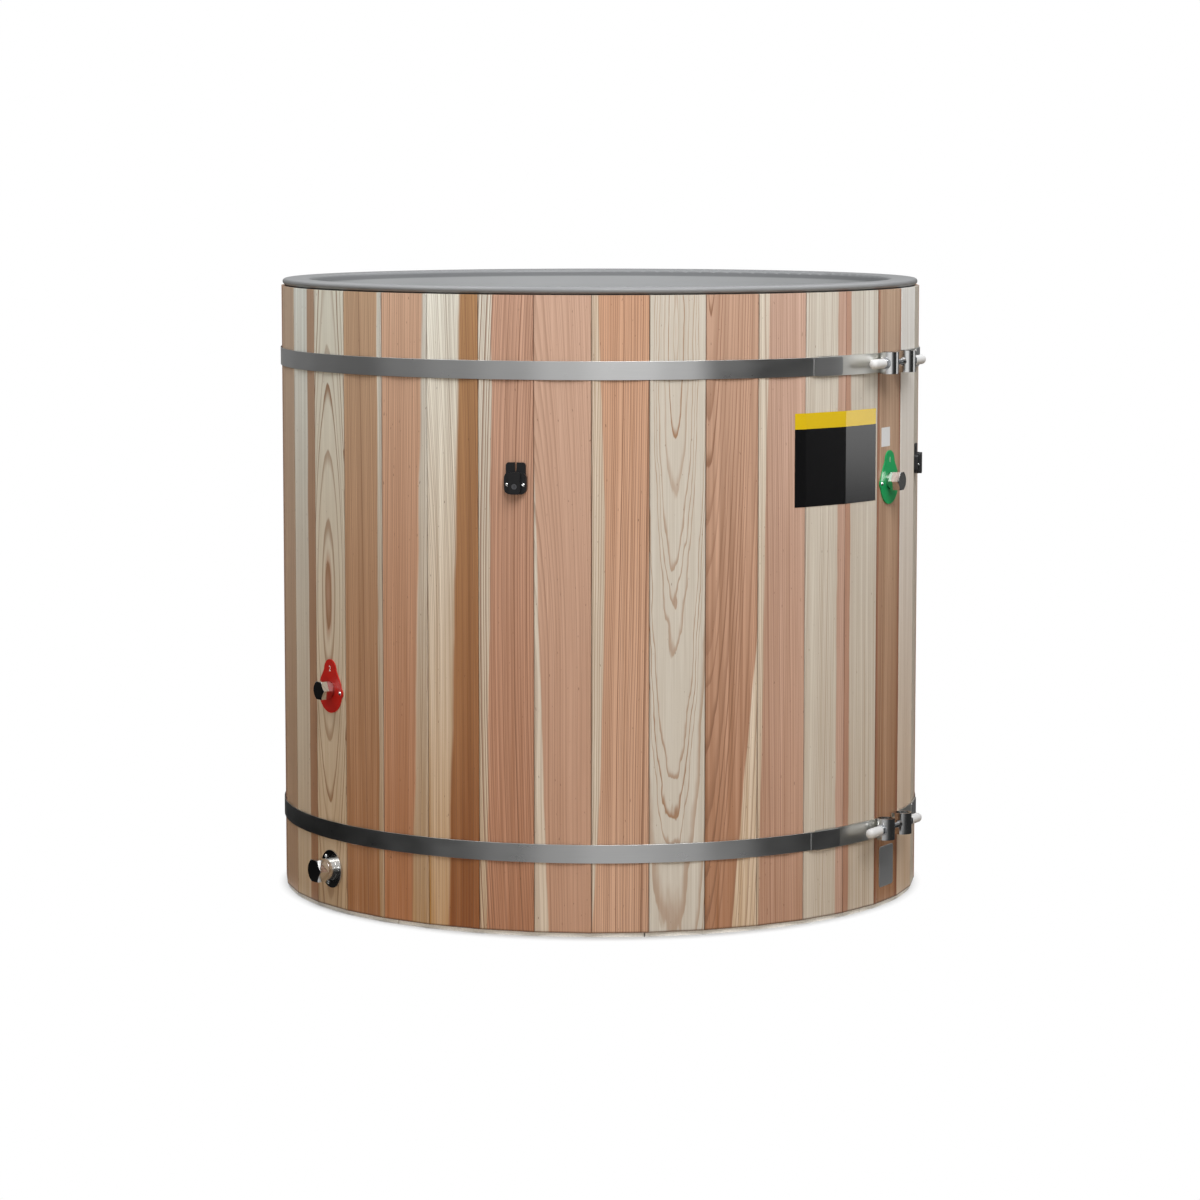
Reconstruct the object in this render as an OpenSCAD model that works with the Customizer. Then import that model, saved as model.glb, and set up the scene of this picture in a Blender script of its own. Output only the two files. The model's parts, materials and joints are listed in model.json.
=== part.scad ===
// Barrel cold plunge tub: cedar staves held by two steel hoops round an insulated liner.
// The front faces -Y and every bearing is counted from the front towards +X.

/* [Barrel] */
// Outside diameter over the corners of the boards
barrel_d = 1100; // [1000:5:1300]
// Number of boards round the barrel
stave_count = 37; // [34:1:42]
// Length of a board
stave_h = 1031; // [950:1:1150]
// Thickness of a board
stave_t = 28; // [22:1:34]
// Bearing of the board joint nearest the front
first_joint = -1.45; // [-4:0.05:4]
// Space left between neighbouring boards
stave_gap = 0.1; // [0.05:0.05:0.3]
// Bevel along the outer edges of a board
edge_ease = 1.2; // [0.5:0.1:2]
// Height of the tongue along one edge of a board
tongue_d = 6; // [4:0.5:8]
// Thickness of the tongue
tongue_w = 8; // [6:0.5:10]
// Clearance of the tongue in its groove
tongue_fit = 0.2; // [0.1:0.05:0.5]

/* [Base] */
// Thickness of the ring and the battens that the barrel stands on
base_t = 7; // [5:0.5:12]
// How far the base ring is set in from the board corners
base_set_in = 4; // [2:0.5:8]
// Width of the base ring
base_ring_w = 76; // [60:1:90]
// Number of pieces in the base ring
base_segments = 8; // [6:1:10]
// Space between the pieces of the base ring
base_gap = 2; // [1:0.5:4]
// Bearing of the base ring joint nearest the front
base_joint = 7.6; // [0:0.1:20]
// Number of battens under the deck
batten_count = 5; // [3:2:7]
// Width of a batten
batten_w = 90; // [60:1:110]
// Thickness of the floor deck
deck_t = 15; // [12:1:22]

/* [Liner] */
// Wall thickness of the liner
liner_t = 5; // [4:0.5:7]
// Thickness of the lip that covers the boards
lip_t = 10; // [8:0.5:14]
// How far the lip is set in from the board corners
lip_set_in = 3; // [1:0.5:6]
// Rounding where the lip turns down into the tub
lip_round = 6; // [4:0.5:8]
// Rounding between the wall and the floor of the tub
cove_r = 14; // [8:1:20]
// Thickness of the seal between the boards and the lip
lip_seal_t = 2; // [1:0.5:3]
// How far the seal is set in from the edge of the lip
lip_seal_set_in = 4; // [3:0.5:8]
// Thickness of the insulation behind the wall
wall_foam_t = 14.5; // [8:0.5:22]
// Thickness of the insulation under the floor
floor_foam_t = 10; // [6:1:16]
// Space between the layers of the wall
layer_gap = 0.3; // [0.2:0.05:0.5]

/* [Hoops] */
// Distance of the upper hoop's middle below the tops of the boards
upper_hoop_drop = 120; // [60:1:190]
// Height of the middle of the lower hoop
lower_hoop_z = 137; // [120:1:200]
// Width of the hoop band
band_w = 30; // [25:1:36]
// Thickness of the hoop band
band_t = 1; // [0.8:0.1:1.5]
// Space between the board corners and the hoop
band_gap = 0.2; // [0.1:0.05:0.3]
// Size of the corners clipped off the ends of the band
band_end_clip = 3; // [2:0.5:6]
// Bearing of the middle of the clamp
clamp_bearing = 61.2; // [55:0.1:70]
// Bearing from the middle of the clamp to each end of the band
band_end_turn = 15.2; // [13:0.1:18]
// How far the strap reaches under the band, in degrees
strap_lap = 6; // [4:0.5:8]
// Thickness of the strap that carries a lug
strap_t = 1.5; // [1:0.1:2]
// How much wider than the band the strap is
strap_extra_w = 2.5; // [1:0.5:4]

/* [Hoop clamp] */
// Distance between the two lugs of a clamp
lug_spacing = 68; // [60:1:76]
// Outside diameter of a lug
lug_d = 31; // [28:0.5:34]
// Wall of a lug
lug_wall = 3; // [2:0.5:4]
// Height of a lug
lug_h = 36; // [32:1:44]
// How far the lug is sunk in its weld to the strap
weld_sink = 0.6; // [0.4:0.1:1]
// Hole through a lug for the rod
lug_hole_d = 13; // [12:0.5:15]
// Diameter of the tension rod
rod_d = 10; // [8:1:10]
// Length of the tension rod
rod_len = 192; // [180:1:200]
// Clearance of a nut or an end cap on the rod
rod_fit = 0.05; // [0.02:0.01:0.1]
// Width of a nut across its flats
nut_af = 16; // [16:1:18]
// Height of a nut
nut_h = 8; // [6:0.5:10]
// Diameter of a washer
washer_d = 20; // [18:0.5:24]
// Thickness of a washer
washer_t = 2; // [1.5:0.5:3]
// Space between pieces stacked on the rod
stack_gap = 0.1; // [0.05:0.05:0.2]
// Diameter of an end cap
end_cap_d = 16; // [14:0.5:18]
// Thickness of an end cap past the end of the rod
end_cap_tip = 5.8; // [5:0.1:8]

/* [Water connections] */
// Board that carries the outlet and the drain, counted from the front
outlet_board = -6; // [-7:1:-4]
// Board that carries the inlet, counted from the front
inlet_board = 6; // [3:1:6]
// Height of the outlet
outlet_z = 374; // [300:1:450]
// Distance of the inlet below the tops of the boards
inlet_drop = 319; // [280:1:380]
// Height of the drain
drain_z = 71; // [71:1:80]
// Thread diameter of the outlet and the inlet
port_d = 26.4; // [20:0.2:27]
// Bore of the outlet and the inlet
port_bore = 20; // [14:0.5:21]
// Thread diameter of the drain
drain_d = 33.2; // [28:0.2:34]
// Bore of the drain
drain_bore = 26; // [20:0.5:27]
// Clearance round the connections in the wall
port_clear = 0.4; // [0.3:0.1:1]
// Clearance of a cap on its thread
thread_fit = 0.05; // [0.02:0.01:0.1]
// Diameter of the flange inside the tub
port_flange_d = 54; // [48:1:60]
// Diameter of the drain's flange inside the tub
drain_flange_in_d = 39; // [38:0.5:40]
// Thickness of the flanges inside the tub
flange_t = 5; // [4:0.5:7]
// Thickness of the gasket under each flange
gasket_t = 3; // [2:0.5:4]
// Diameter of the locknuts outside the liner
locknut_d = 40; // [38:0.5:44]
// Thickness of a locknut
locknut_t = 7; // [5:0.5:9]
// Thickness of the sealing disc in a cap
seal_t = 2; // [1.5:0.5:3]

/* [Outlet and inlet caps] */
// Width of a cap across its flats
cap_af = 30; // [29.5:0.5:34]
// Length of a cap
cap_len = 19; // [18:0.5:24]
// Stretch of thread left bare between the plate and a cap
cap_stand = 4; // [2:0.5:8]
// Depth of thread inside a cap
cap_grip = 14; // [10:0.5:14]

/* [Drain cap] */
// Width of the drain cap across its flats
drain_cap_af = 37; // [36.5:0.5:42]
// Length of the drain cap
drain_cap_len = 19; // [18:0.5:24]
// Depth of thread inside the drain cap
drain_cap_grip = 13; // [10:0.5:14]
// Diameter of the round flange on the wall
drain_plate_d = 64; // [60:1:72]
// Thickness of the round flange
drain_plate_t = 3; // [2:0.5:4]
// Diameter of the sleeve on the flange
sleeve_d = 37; // [36.5:0.5:39]
// Length of the sleeve
sleeve_len = 14.5; // [10:0.5:18]
// Distance of the flange screws from its middle
drain_screw_r = 25; // [24:0.5:28]

/* [Wall plates] */
// Thickness of the outlet and inlet plates
plate_t = 2; // [1:0.5:3]
// Radius of the large round of a plate
plate_body_r = 36; // [32:0.5:38]
// How far the large round lies below the connection
plate_body_drop = 3; // [0:0.5:6]
// Radius of the lobe at the top of a plate
plate_lobe_r = 19; // [14:0.5:22]
// Height of the lobe's middle over the connection
plate_lobe_rise = 32; // [28:0.5:36]
// Distance of each screw ear from the middle
ear_x = 31.5; // [29:0.5:33]
// How far the ears lie below the connection
ear_drop = 3.5; // [0:0.5:6]
// Radius of an ear
ear_r = 8.5; // [6:0.5:9]

/* [Cover clips] */
// Distance of the clips' middle below the tops of the boards
clip_drop = 293; // [240:1:390]
// Width of a clip
clip_w = 37; // [34:0.5:40]
// Height of a clip
clip_h = 51; // [48:0.5:56]
// Thickness of the plate against the wall
clip_plate_t = 3; // [2.5:0.5:4]
// Width of the plate above the body
clip_plate_w = 33; // [30:0.5:34]
// Height of the plate that shows above the body
clip_plate_show = 15.5; // [14:0.5:18]
// Thickness of the clip at its screw shoulders
clip_shoulder_t = 7; // [6:0.5:8]
// Thickness of the clip at its middle block
clip_body_t = 12; // [11:0.5:15]
// Width of the middle block
clip_block_w = 19; // [17:0.5:20]
// Width of the slot in the plate
clip_slot_w = 3; // [2:0.5:4]
// Depth of the slot in the plate
clip_slot_d = 12.5; // [8:0.5:13]
// Width of the pocket for the buckle tongue
clip_pocket_w = 13; // [8:0.5:14]
// Depth of the pocket from front to back
clip_pocket_t = 3.5; // [2.5:0.5:3.5]
// Diameter of the lock cylinder
lock_d = 9; // [7:0.5:11]
// Depth of the lock cylinder
lock_len = 7; // [5:0.5:8]
// How far the lock lies below the middle of the clip
lock_drop = 13; // [11:0.5:14]
// Distance of a clip screw from the middle
clip_screw_x = 13.5; // [13:0.5:14]
// How far the clip screws lie below the middle of the clip
clip_screw_drop = 10.5; // [8:0.5:12]

/* [Screws] */
// Diameter of a screw's shank
screw_d = 3; // [2.5:0.1:4]
// Diameter of a screw's head
screw_head_d = 6.4; // [6:0.1:7]
// Height of a screw's head
screw_head_h = 2.2; // [1.5:0.1:3]
// Length of the shank in the wood
screw_bite = 12; // [8:1:16]
// Clearance round a screw
screw_clear = 0.2; // [0.1:0.05:0.4]

/* [Hidden] */
$fn = 96;
pitch = 360 / stave_count;
half = pitch / 2;
barrel_r = barrel_d / 2;
face_r = barrel_r * cos(half);
inner_face_r = face_r - stave_t;
joint_mid_r = (barrel_r + inner_face_r / cos(half)) / 2;
stave_top = base_t + stave_h;
upper_hoop_z = stave_top - upper_hoop_drop;
inlet_z = stave_top - inlet_drop;
clip_z = stave_top - clip_drop;
lip_z = stave_top + lip_seal_t;
rim_z = lip_z + lip_t;
foam_out_r = inner_face_r - layer_gap;
liner_out_r = foam_out_r - wall_foam_t - layer_gap;
liner_in_r = liner_out_r - liner_t;
deck_top = base_t + deck_t;
liner_bottom = deck_top + floor_foam_t;
tub_floor = liner_bottom + liner_t;
base_out_r = barrel_r - base_set_in;
base_in_r = base_out_r - base_ring_w;
cut_extra = 1;

// Boards at the front have a node each, the rest share one
front_first = -8;
front_last = 7;

// Straps and lugs sit outside the band's inner surface
strap_in_r = barrel_r + band_gap;
strap_out_r = strap_in_r + strap_t;
lap_gap = 0.05;
lug_r = strap_out_r + lug_d / 2 - weld_sink;
rod_r = sqrt(pow(lug_r, 2) - pow(lug_spacing / 2, 2));
lug_turn = asin(lug_spacing / 2 / lug_r);
strap_turn = band_end_turn + strap_lap;
joggle_turn = 0.3;
lug_seat_turn = 1.2;
washer_start = lug_spacing / 2 + lug_d / 2 + stack_gap;
nut_start = washer_start + washer_t + stack_gap;
end_cap_start = nut_start + nut_h + stack_gap;
end_cap_len = rod_len / 2 - end_cap_start + end_cap_tip;

// Connections are stacked outwards from the flat face of their board
port_cap_start = plate_t + cap_stand;
port_end = port_cap_start + cap_grip;
drain_cap_start = drain_plate_t + sleeve_len + layer_gap;
drain_end = drain_cap_start + drain_cap_grip;
seal_gap = 0.1;

// Board, sideways place, height and standing height of the wall screws
clip_boards = [-2, 8, 17, -11];
clip_shifts = [17.8, -21.6, -24, -5.6];
drain_screw_turns = [9, 129, 249];
plate_screws = [
    for (side = [-1, 1]) [outlet_board, side * ear_x, outlet_z - ear_drop, plate_t],
    for (side = [-1, 1]) [inlet_board, side * ear_x, inlet_z - ear_drop, plate_t]
];
drain_screws = [
    for (turn = drain_screw_turns)
        [outlet_board, drain_screw_r * cos(turn), drain_z + drain_screw_r * sin(turn), drain_plate_t]
];
clip_screws = [
    for (i = [0:3], side = [-1, 1])
        [clip_boards[i], clip_shifts[i] + side * clip_screw_x, clip_z - clip_screw_drop, clip_shoulder_t]
];
wall_screws = concat(plate_screws, drain_screws, clip_screws);

cedar_cream = "#d9cbb2";
cedar_pink = "#c9997c";
cedar_tan = "#a98262";
steel = "#c3c5c6";
chrome = "#d9dbdc";
black_plastic = "#1a1b1c";
front_tones = [
    cedar_cream, cedar_cream, cedar_cream, cedar_tan, cedar_pink, cedar_tan, cedar_pink, cedar_pink,
    cedar_pink, cedar_cream, cedar_pink, cedar_pink, cedar_cream, cedar_cream, cedar_tan, cedar_cream
];
rear_tones = [cedar_pink, cedar_cream, cedar_tan];

front_names = [
    for (i = [1:front_last - front_first + 1]) str("stave_", i < 10 ? "0" : "", i)
];

function board_bearing(board) = first_joint + pitch * (board + 0.5);
function same_board(a, b) = (a - b) % stave_count == 0;
function side_x(r) = r * tan(half) - stave_gap / 2 / cos(half);
function turned(p, a) = [p[0] * cos(a) - p[1] * sin(a), p[0] * sin(a) + p[1] * cos(a)];
function flange_seat(d) = sqrt(pow(liner_in_r, 2) - pow(d / 2, 2));

// Puts a shape on the wall: its z points outwards from the barrel's axis, its y points up
module on_wall(board, z, shift = 0)
    rotate(board_bearing(board))
        translate([shift, 0, z])
            rotate([90, 0, 0])
                children();

// Puts a shape on the tension rod: its z points away from the middle of the clamp
module on_rod(z, side)
    rotate(clamp_bearing)
        translate([0, -rod_r, z])
            rotate([0, side * 90, 0])
                children();

module ring(outer_d, inner_d, h)
    difference() {
        cylinder(d = outer_d, h = h);
        translate([0, 0, -cut_extra])
            cylinder(d = inner_d, h = h + 2 * cut_extra);
    }

// Flat outline with four round corners
module rounded(w, h, r) {
    square([w - 2 * r, h], center = true);
    square([w, h - 2 * r], center = true);
    for (x = [-1, 1], y = [-1, 1])
        translate([x * (w / 2 - r), y * (h / 2 - r)])
            circle(r);
}

// Hexagon with its corners turned down at both ends
module hex_body(af, h) {
    corner_r = af / 2 / cos(30);
    drop = (corner_r - af / 2) * tan(30);
    intersection() {
        cylinder(r = corner_r, h = h, $fn = 6);
        rotate_extrude()
            polygon([
                [0, 0], [af / 2, 0], [corner_r, drop],
                [corner_r, h - drop], [af / 2, h], [0, h]
            ]);
    }
}

// Outline of a board: bevelled outer edges, a tongue on one side and a groove on the other
module stave_profile() {
    tongue_in = tongue_w / 2 - joint_mid_r;
    tongue_out = -tongue_w / 2 - joint_mid_r;
    tongue_tip = tongue_d - stave_gap / 2;
    groove_end = tongue_d + tongue_fit;
    side = stave_gap / 2;
    polygon([
        [side_x(inner_face_r), -inner_face_r],
        turned([-side, tongue_in], half),
        turned([tongue_tip, tongue_in], half),
        turned([tongue_tip, tongue_out], half),
        turned([-side, tongue_out], half),
        [side_x(face_r - edge_ease), edge_ease - face_r],
        [side_x(face_r) - edge_ease, -face_r],
        [edge_ease - side_x(face_r), -face_r],
        [-side_x(face_r - edge_ease), edge_ease - face_r],
        turned([side, tongue_out - tongue_fit], -half),
        turned([groove_end, tongue_out - tongue_fit], -half),
        turned([groove_end, tongue_in + tongue_fit], -half),
        turned([side, tongue_in + tongue_fit], -half),
        [-side_x(inner_face_r), -inner_face_r]
    ]);
}

// Hole through every layer of the wall
module port_hole(board, z, d)
    on_wall(board, z)
        translate([0, 0, liner_in_r - port_flange_d / 2])
            cylinder(d = d + 2 * port_clear, h = barrel_r - liner_in_r + port_flange_d);

// Pocket in the outside of a board for the locknut
module locknut_pocket(board, z)
    on_wall(board, z)
        translate([0, 0, face_r - locknut_t - layer_gap])
            cylinder(d = locknut_d + 2 * port_clear, h = locknut_t + stave_t);

module screw_hole(screw)
    on_wall(screw[0], screw[2], screw[1])
        translate([0, 0, face_r - screw_bite - cut_extra])
            cylinder(d = screw_d + 2 * screw_clear, h = screw_bite + 2 * cut_extra);

module stave(board, tone)
    color(tone)
        difference() {
            translate([0, 0, base_t])
                rotate(board_bearing(board))
                    linear_extrude(stave_h)
                        stave_profile();
            if (same_board(board, outlet_board)) {
                port_hole(outlet_board, outlet_z, port_d);
                port_hole(outlet_board, drain_z, drain_d);
                locknut_pocket(outlet_board, outlet_z);
                locknut_pocket(outlet_board, drain_z);
            }
            if (same_board(board, inlet_board)) {
                port_hole(inlet_board, inlet_z, port_d);
                locknut_pocket(inlet_board, inlet_z);
            }
            for (screw = wall_screws)
                if (same_board(board, screw[0]))
                    screw_hole(screw);
        }

module rear_staves()
    for (board = [front_last + 1:stave_count + front_first - 1])
        stave(board, rear_tones[board % len(rear_tones)]);

module base_ring()
    color("#b9b7a6") {
        gap_turn = 2 * asin(base_gap / 2 / base_out_r);
        turn = 360 / base_segments;
        for (i = [0:base_segments - 1])
            rotate(base_joint - 90 + i * turn + gap_turn / 2)
                rotate_extrude(angle = turn - gap_turn)
                    translate([base_in_r, 0])
                        square([base_ring_w, base_t]);
    }

module base_battens()
    color("#a58a63") {
        reach = base_in_r - base_t;
        step = 2 * (reach - batten_w) / (batten_count - 1);
        for (i = [0:batten_count - 1]) {
            y = (i - (batten_count - 1) / 2) * step;
            half_len = sqrt(pow(reach, 2) - pow(abs(y) + batten_w / 2, 2));
            translate([-half_len, y - batten_w / 2, 0])
                cube([2 * half_len, batten_w, base_t]);
        }
    }

module floor_deck()
    color("#b89a6c")
        translate([0, 0, base_t])
            cylinder(r = foam_out_r, h = deck_t);

module insulation()
    color("#e6dfbe") {
        difference() {
            translate([0, 0, deck_top])
                ring(2 * foam_out_r, 2 * (liner_out_r + layer_gap), stave_top - deck_top);
            port_hole(outlet_board, outlet_z, port_d);
            port_hole(outlet_board, drain_z, drain_d);
            port_hole(inlet_board, inlet_z, port_d);
        }
        translate([0, 0, deck_top])
            cylinder(r = liner_out_r, h = floor_foam_t);
    }

// Half section of the liner: lip, wall, rounded corner and floor
module liner_section() {
    lip_r = barrel_r - lip_set_in;
    edge_r = lip_t / 2;
    difference() {
        union() {
            translate([0, lip_z])
                square([lip_r - edge_r, lip_t]);
            translate([lip_r - edge_r, lip_z + edge_r])
                circle(edge_r);
            translate([0, liner_bottom + cove_r])
                square([liner_out_r, rim_z - liner_bottom - cove_r - lip_t]);
            translate([0, liner_bottom])
                square([liner_out_r - cove_r - liner_t, cove_r]);
            translate([liner_out_r - cove_r - liner_t, liner_bottom + cove_r + liner_t])
                circle(cove_r + liner_t);
        }
        translate([0, tub_floor + cove_r])
            square([liner_in_r, rim_z]);
        translate([0, tub_floor])
            square([liner_in_r - cove_r, cove_r + cut_extra]);
        translate([liner_in_r - cove_r, tub_floor + cove_r])
            circle(cove_r);
        translate([liner_in_r - cut_extra, rim_z - lip_round])
            difference() {
                square([lip_round + cut_extra, lip_round + cut_extra]);
                translate([lip_round + cut_extra, 0])
                    circle(lip_round);
            }
    }
}

module liner()
    color("#8f9193")
        difference() {
            rotate_extrude($fn = 360)
                liner_section();
            port_hole(outlet_board, outlet_z, port_d);
            port_hole(outlet_board, drain_z, drain_d);
            port_hole(inlet_board, inlet_z, port_d);
        }

module lip_seal()
    color("#202122")
        translate([0, 0, stave_top])
            ring(2 * (barrel_r - lip_set_in - lip_seal_set_in), 2 * (foam_out_r + layer_gap), lip_seal_t);

// Part of a band: from one bearing to another, on a given inside radius
module band_arc(r, t, w, from, to)
    rotate(from - 90)
        rotate_extrude(angle = to - from, $fn = 720)
            translate([r, -w / 2])
                square([t, w]);

// Clips the two corners off the end of a band
module end_corners(bearing, side)
    rotate(bearing)
        rotate([90, 0, 0])
            translate([0, 0, barrel_r - cut_extra])
                linear_extrude(strap_t + band_t + 4 * cut_extra)
                    for (up = [-1, 1])
                        polygon([
                            [-side * cut_extra, up * (band_w / 2 - band_end_clip - cut_extra)],
                            [side * (band_end_clip + cut_extra), up * (band_w / 2 + cut_extra)],
                            [-side * cut_extra, up * (band_w / 2 + cut_extra)]
                        ]);

// The band runs on the boards and steps out over a strap at both ends
module hoop(z)
    color(steel)
        translate([0, 0, z]) {
            first = clamp_bearing + band_end_turn;
            last = clamp_bearing + 360 - band_end_turn;
            lap = strap_lap + 2 * joggle_turn;
            step_out = strap_t + lap_gap;
            cut_w = band_w + 2 * cut_extra;
            difference() {
                band_arc(strap_in_r, step_out + band_t, band_w, first, last);
                band_arc(strap_in_r - cut_extra, step_out + cut_extra, cut_w, first - 1, first + lap);
                band_arc(strap_in_r - cut_extra, step_out + cut_extra, cut_w, last - lap, last + 1);
                band_arc(strap_in_r + band_t, step_out + cut_extra, cut_w,
                    first + lap + joggle_turn, last - lap - joggle_turn);
                end_corners(first, 1);
                end_corners(last, -1);
            }
        }

// A short open tube welded to a strap, cross-drilled for the rod
module hoop_lug(z, side)
    difference() {
        union() {
            from = clamp_bearing + side * strap_turn;
            to = clamp_bearing + side * (lug_turn - lug_seat_turn);
            translate([0, 0, z])
                band_arc(strap_in_r, strap_t, band_w + strap_extra_w, min(from, to), max(from, to));
            on_rod(z, side)
                translate([0, 0, lug_spacing / 2])
                    rotate([0, -90, 0])
                        translate([0, 0, -lug_h / 2])
                            cylinder(d = lug_d, h = lug_h);
        }
        on_rod(z, side)
            translate([0, 0, lug_spacing / 2])
                rotate([0, -90, 0])
                    translate([0, 0, -lug_h])
                        cylinder(d = lug_d - 2 * lug_wall, h = 2 * lug_h);
        on_rod(z, side)
            translate([0, 0, lug_spacing / 2 - lug_d])
                cylinder(d = lug_hole_d, h = 2 * lug_d);
    }

module hoop_lugs(z)
    color(steel)
        for (side = [-1, 1])
            hoop_lug(z, side);

module tension_rods()
    color(steel)
        for (z = [upper_hoop_z, lower_hoop_z])
            on_rod(z, 1)
                cylinder(d = rod_d, h = rod_len, center = true);

module tension_washers()
    color(chrome)
        for (z = [upper_hoop_z, lower_hoop_z], side = [-1, 1])
            on_rod(z, side)
                translate([0, 0, washer_start])
                    ring(washer_d, rod_d + 2 * rod_fit + 2 * stack_gap, washer_t);

module nut(z, side)
    color(chrome)
        on_rod(z, side)
            translate([0, 0, nut_start])
                difference() {
                    hex_body(nut_af, nut_h);
                    translate([0, 0, -cut_extra])
                        cylinder(d = rod_d + 2 * rod_fit, h = nut_h + 2 * cut_extra);
                }

// Soft plastic cap with a domed end, pushed over the end of the rod
module end_cap(z, side)
    color("#e9e9e7")
        on_rod(z, side)
            translate([0, 0, end_cap_start])
                difference() {
                    union() {
                        cylinder(d = end_cap_d, h = end_cap_len - end_cap_d / 2);
                        translate([0, 0, end_cap_len - end_cap_d / 2])
                            sphere(d = end_cap_d);
                    }
                    translate([0, 0, -end_cap_len])
                        cylinder(
                            d = rod_d + 2 * rod_fit,
                            h = 2 * end_cap_len - end_cap_tip + stack_gap
                        );
                    translate([0, 0, -end_cap_d])
                        cylinder(d = 2 * end_cap_d, h = end_cap_d);
                }

// Pear-shaped plate: a large round, a lobe above it and an ear at each side
module plate_outline() {
    neck_turn = 35;
    neck_rise = 2;
    neck_in = 1;
    lobe_x = plate_lobe_r - neck_in;
    translate([0, -plate_body_drop])
        circle(plate_body_r);
    translate([0, plate_lobe_rise])
        circle(plate_lobe_r);
    polygon([
        [-plate_body_r * cos(neck_turn), plate_body_r * sin(neck_turn) - plate_body_drop],
        [plate_body_r * cos(neck_turn), plate_body_r * sin(neck_turn) - plate_body_drop],
        [lobe_x, plate_lobe_rise + neck_rise],
        [-lobe_x, plate_lobe_rise + neck_rise]
    ]);
    for (side = [-1, 1])
        translate([side * ear_x, -ear_drop])
            circle(ear_r);
}

module wall_plate(board, z, tone)
    color(tone)
        on_wall(board, z)
            translate([0, 0, face_r])
                linear_extrude(plate_t)
                    difference() {
                        plate_outline();
                        circle(d = port_d + 2 * port_clear);
                        for (side = [-1, 1])
                            translate([side * ear_x, -ear_drop])
                                circle(d = screw_d + 2 * screw_clear);
                    }

// Round flange with a sleeve that reaches out to the cap
module drain_plate()
    color(chrome)
        on_wall(outlet_board, drain_z)
            translate([0, 0, face_r])
                difference() {
                    union() {
                        cylinder(d = drain_plate_d, h = drain_plate_t);
                        cylinder(d = sleeve_d, h = drain_plate_t + sleeve_len);
                    }
                    translate([0, 0, -cut_extra])
                        cylinder(d = drain_d + 2 * port_clear, h = drain_plate_t + sleeve_len + 2 * cut_extra);
                    for (turn = drain_screw_turns)
                        rotate(turn)
                            translate([drain_screw_r, 0, -cut_extra])
                                cylinder(d = screw_d + 2 * screw_clear, h = drain_plate_t + 2 * cut_extra);
                }

// Threaded tube through the wall with a flange inside the tub
module fitting(board, z, d, bore, flange_d, end) {
    seat = flange_seat(flange_d) - gasket_t - layer_gap;
    color(steel)
        on_wall(board, z)
            difference() {
                union() {
                    translate([0, 0, seat - flange_t])
                        cylinder(d = flange_d, h = flange_t);
                    translate([0, 0, seat - flange_t])
                        cylinder(d = d, h = face_r + end - seat + flange_t);
                }
                translate([0, 0, seat - flange_t - cut_extra])
                    cylinder(d = bore, h = face_r + end - seat + flange_t + 2 * cut_extra);
            }
}

module gasket(board, z, d, flange_d)
    on_wall(board, z)
        translate([0, 0, flange_seat(flange_d) - gasket_t - layer_gap / 2])
            ring(flange_d, d + 2 * port_clear, gasket_t);

module flange_gaskets()
    color("#2a2a2a") {
        gasket(outlet_board, outlet_z, port_d, port_flange_d);
        gasket(inlet_board, inlet_z, port_d, port_flange_d);
        gasket(outlet_board, drain_z, drain_d, drain_flange_in_d);
    }

// Round nut with notches for a spanner
module locknut(board, z, d) {
    notch_count = 4;
    notch_w = 5;
    notch_depth = 1.2;
    on_wall(board, z)
        translate([0, 0, face_r - locknut_t - layer_gap / 2])
            difference() {
                ring(locknut_d, d + 2 * thread_fit, locknut_t);
                for (i = [0:notch_count - 1])
                    rotate(i * 360 / notch_count)
                        translate([locknut_d / 2 - notch_depth, -notch_w / 2, -cut_extra])
                            cube([2 * notch_depth, notch_w, locknut_t + 2 * cut_extra]);
            }
}

module locknuts()
    color(chrome) {
        locknut(outlet_board, outlet_z, port_d);
        locknut(inlet_board, inlet_z, port_d);
        locknut(outlet_board, drain_z, drain_d);
    }

// Slotted cup over the outlet's flange, so that nothing blocks the pump's suction
module suction_strainer() {
    cup_wall = 3;
    cup_depth = 12;
    slot_count = 12;
    slot_w = 3;
    slot_len = port_flange_d / 4;
    flange_face = flange_seat(port_flange_d) - gasket_t - layer_gap - flange_t;
    color("#d7d8d8")
        on_wall(outlet_board, outlet_z)
            translate([0, 0, flange_face - cup_depth])
                difference() {
                    cylinder(d = port_flange_d + 2 * cup_wall, h = cup_depth + flange_t);
                    translate([0, 0, cup_wall])
                        cylinder(d = port_flange_d + 2 * thread_fit, h = cup_depth + flange_t);
                    for (i = [0:slot_count - 1])
                        rotate(i * 360 / slot_count)
                            translate([slot_len / 2, -slot_w / 2, -cut_extra])
                                cube([slot_len, slot_w, cup_wall + 2 * cut_extra]);
                }
}

// Nozzle pushed into the inlet, with a sloping face and a jet hole
module return_nozzle() {
    head_set_in = 3;
    head_d = port_flange_d - 2 * head_set_in;
    head_h = 6;
    head_slope = 12;
    plug_len = 14;
    jet_d = 12;
    flange_face = flange_seat(port_flange_d) - gasket_t - layer_gap - flange_t;
    color("#d7d8d8")
        on_wall(inlet_board, inlet_z)
            translate([0, 0, flange_face])
                difference() {
                    union() {
                        translate([0, 0, -head_h])
                            cylinder(d1 = head_d - head_slope, d2 = head_d, h = head_h);
                        cylinder(d = port_bore - 2 * layer_gap, h = plug_len);
                    }
                    translate([0, 0, -head_h - cut_extra])
                        cylinder(d = jet_d, h = plug_len + head_h + 2 * cut_extra);
                }
}

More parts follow.
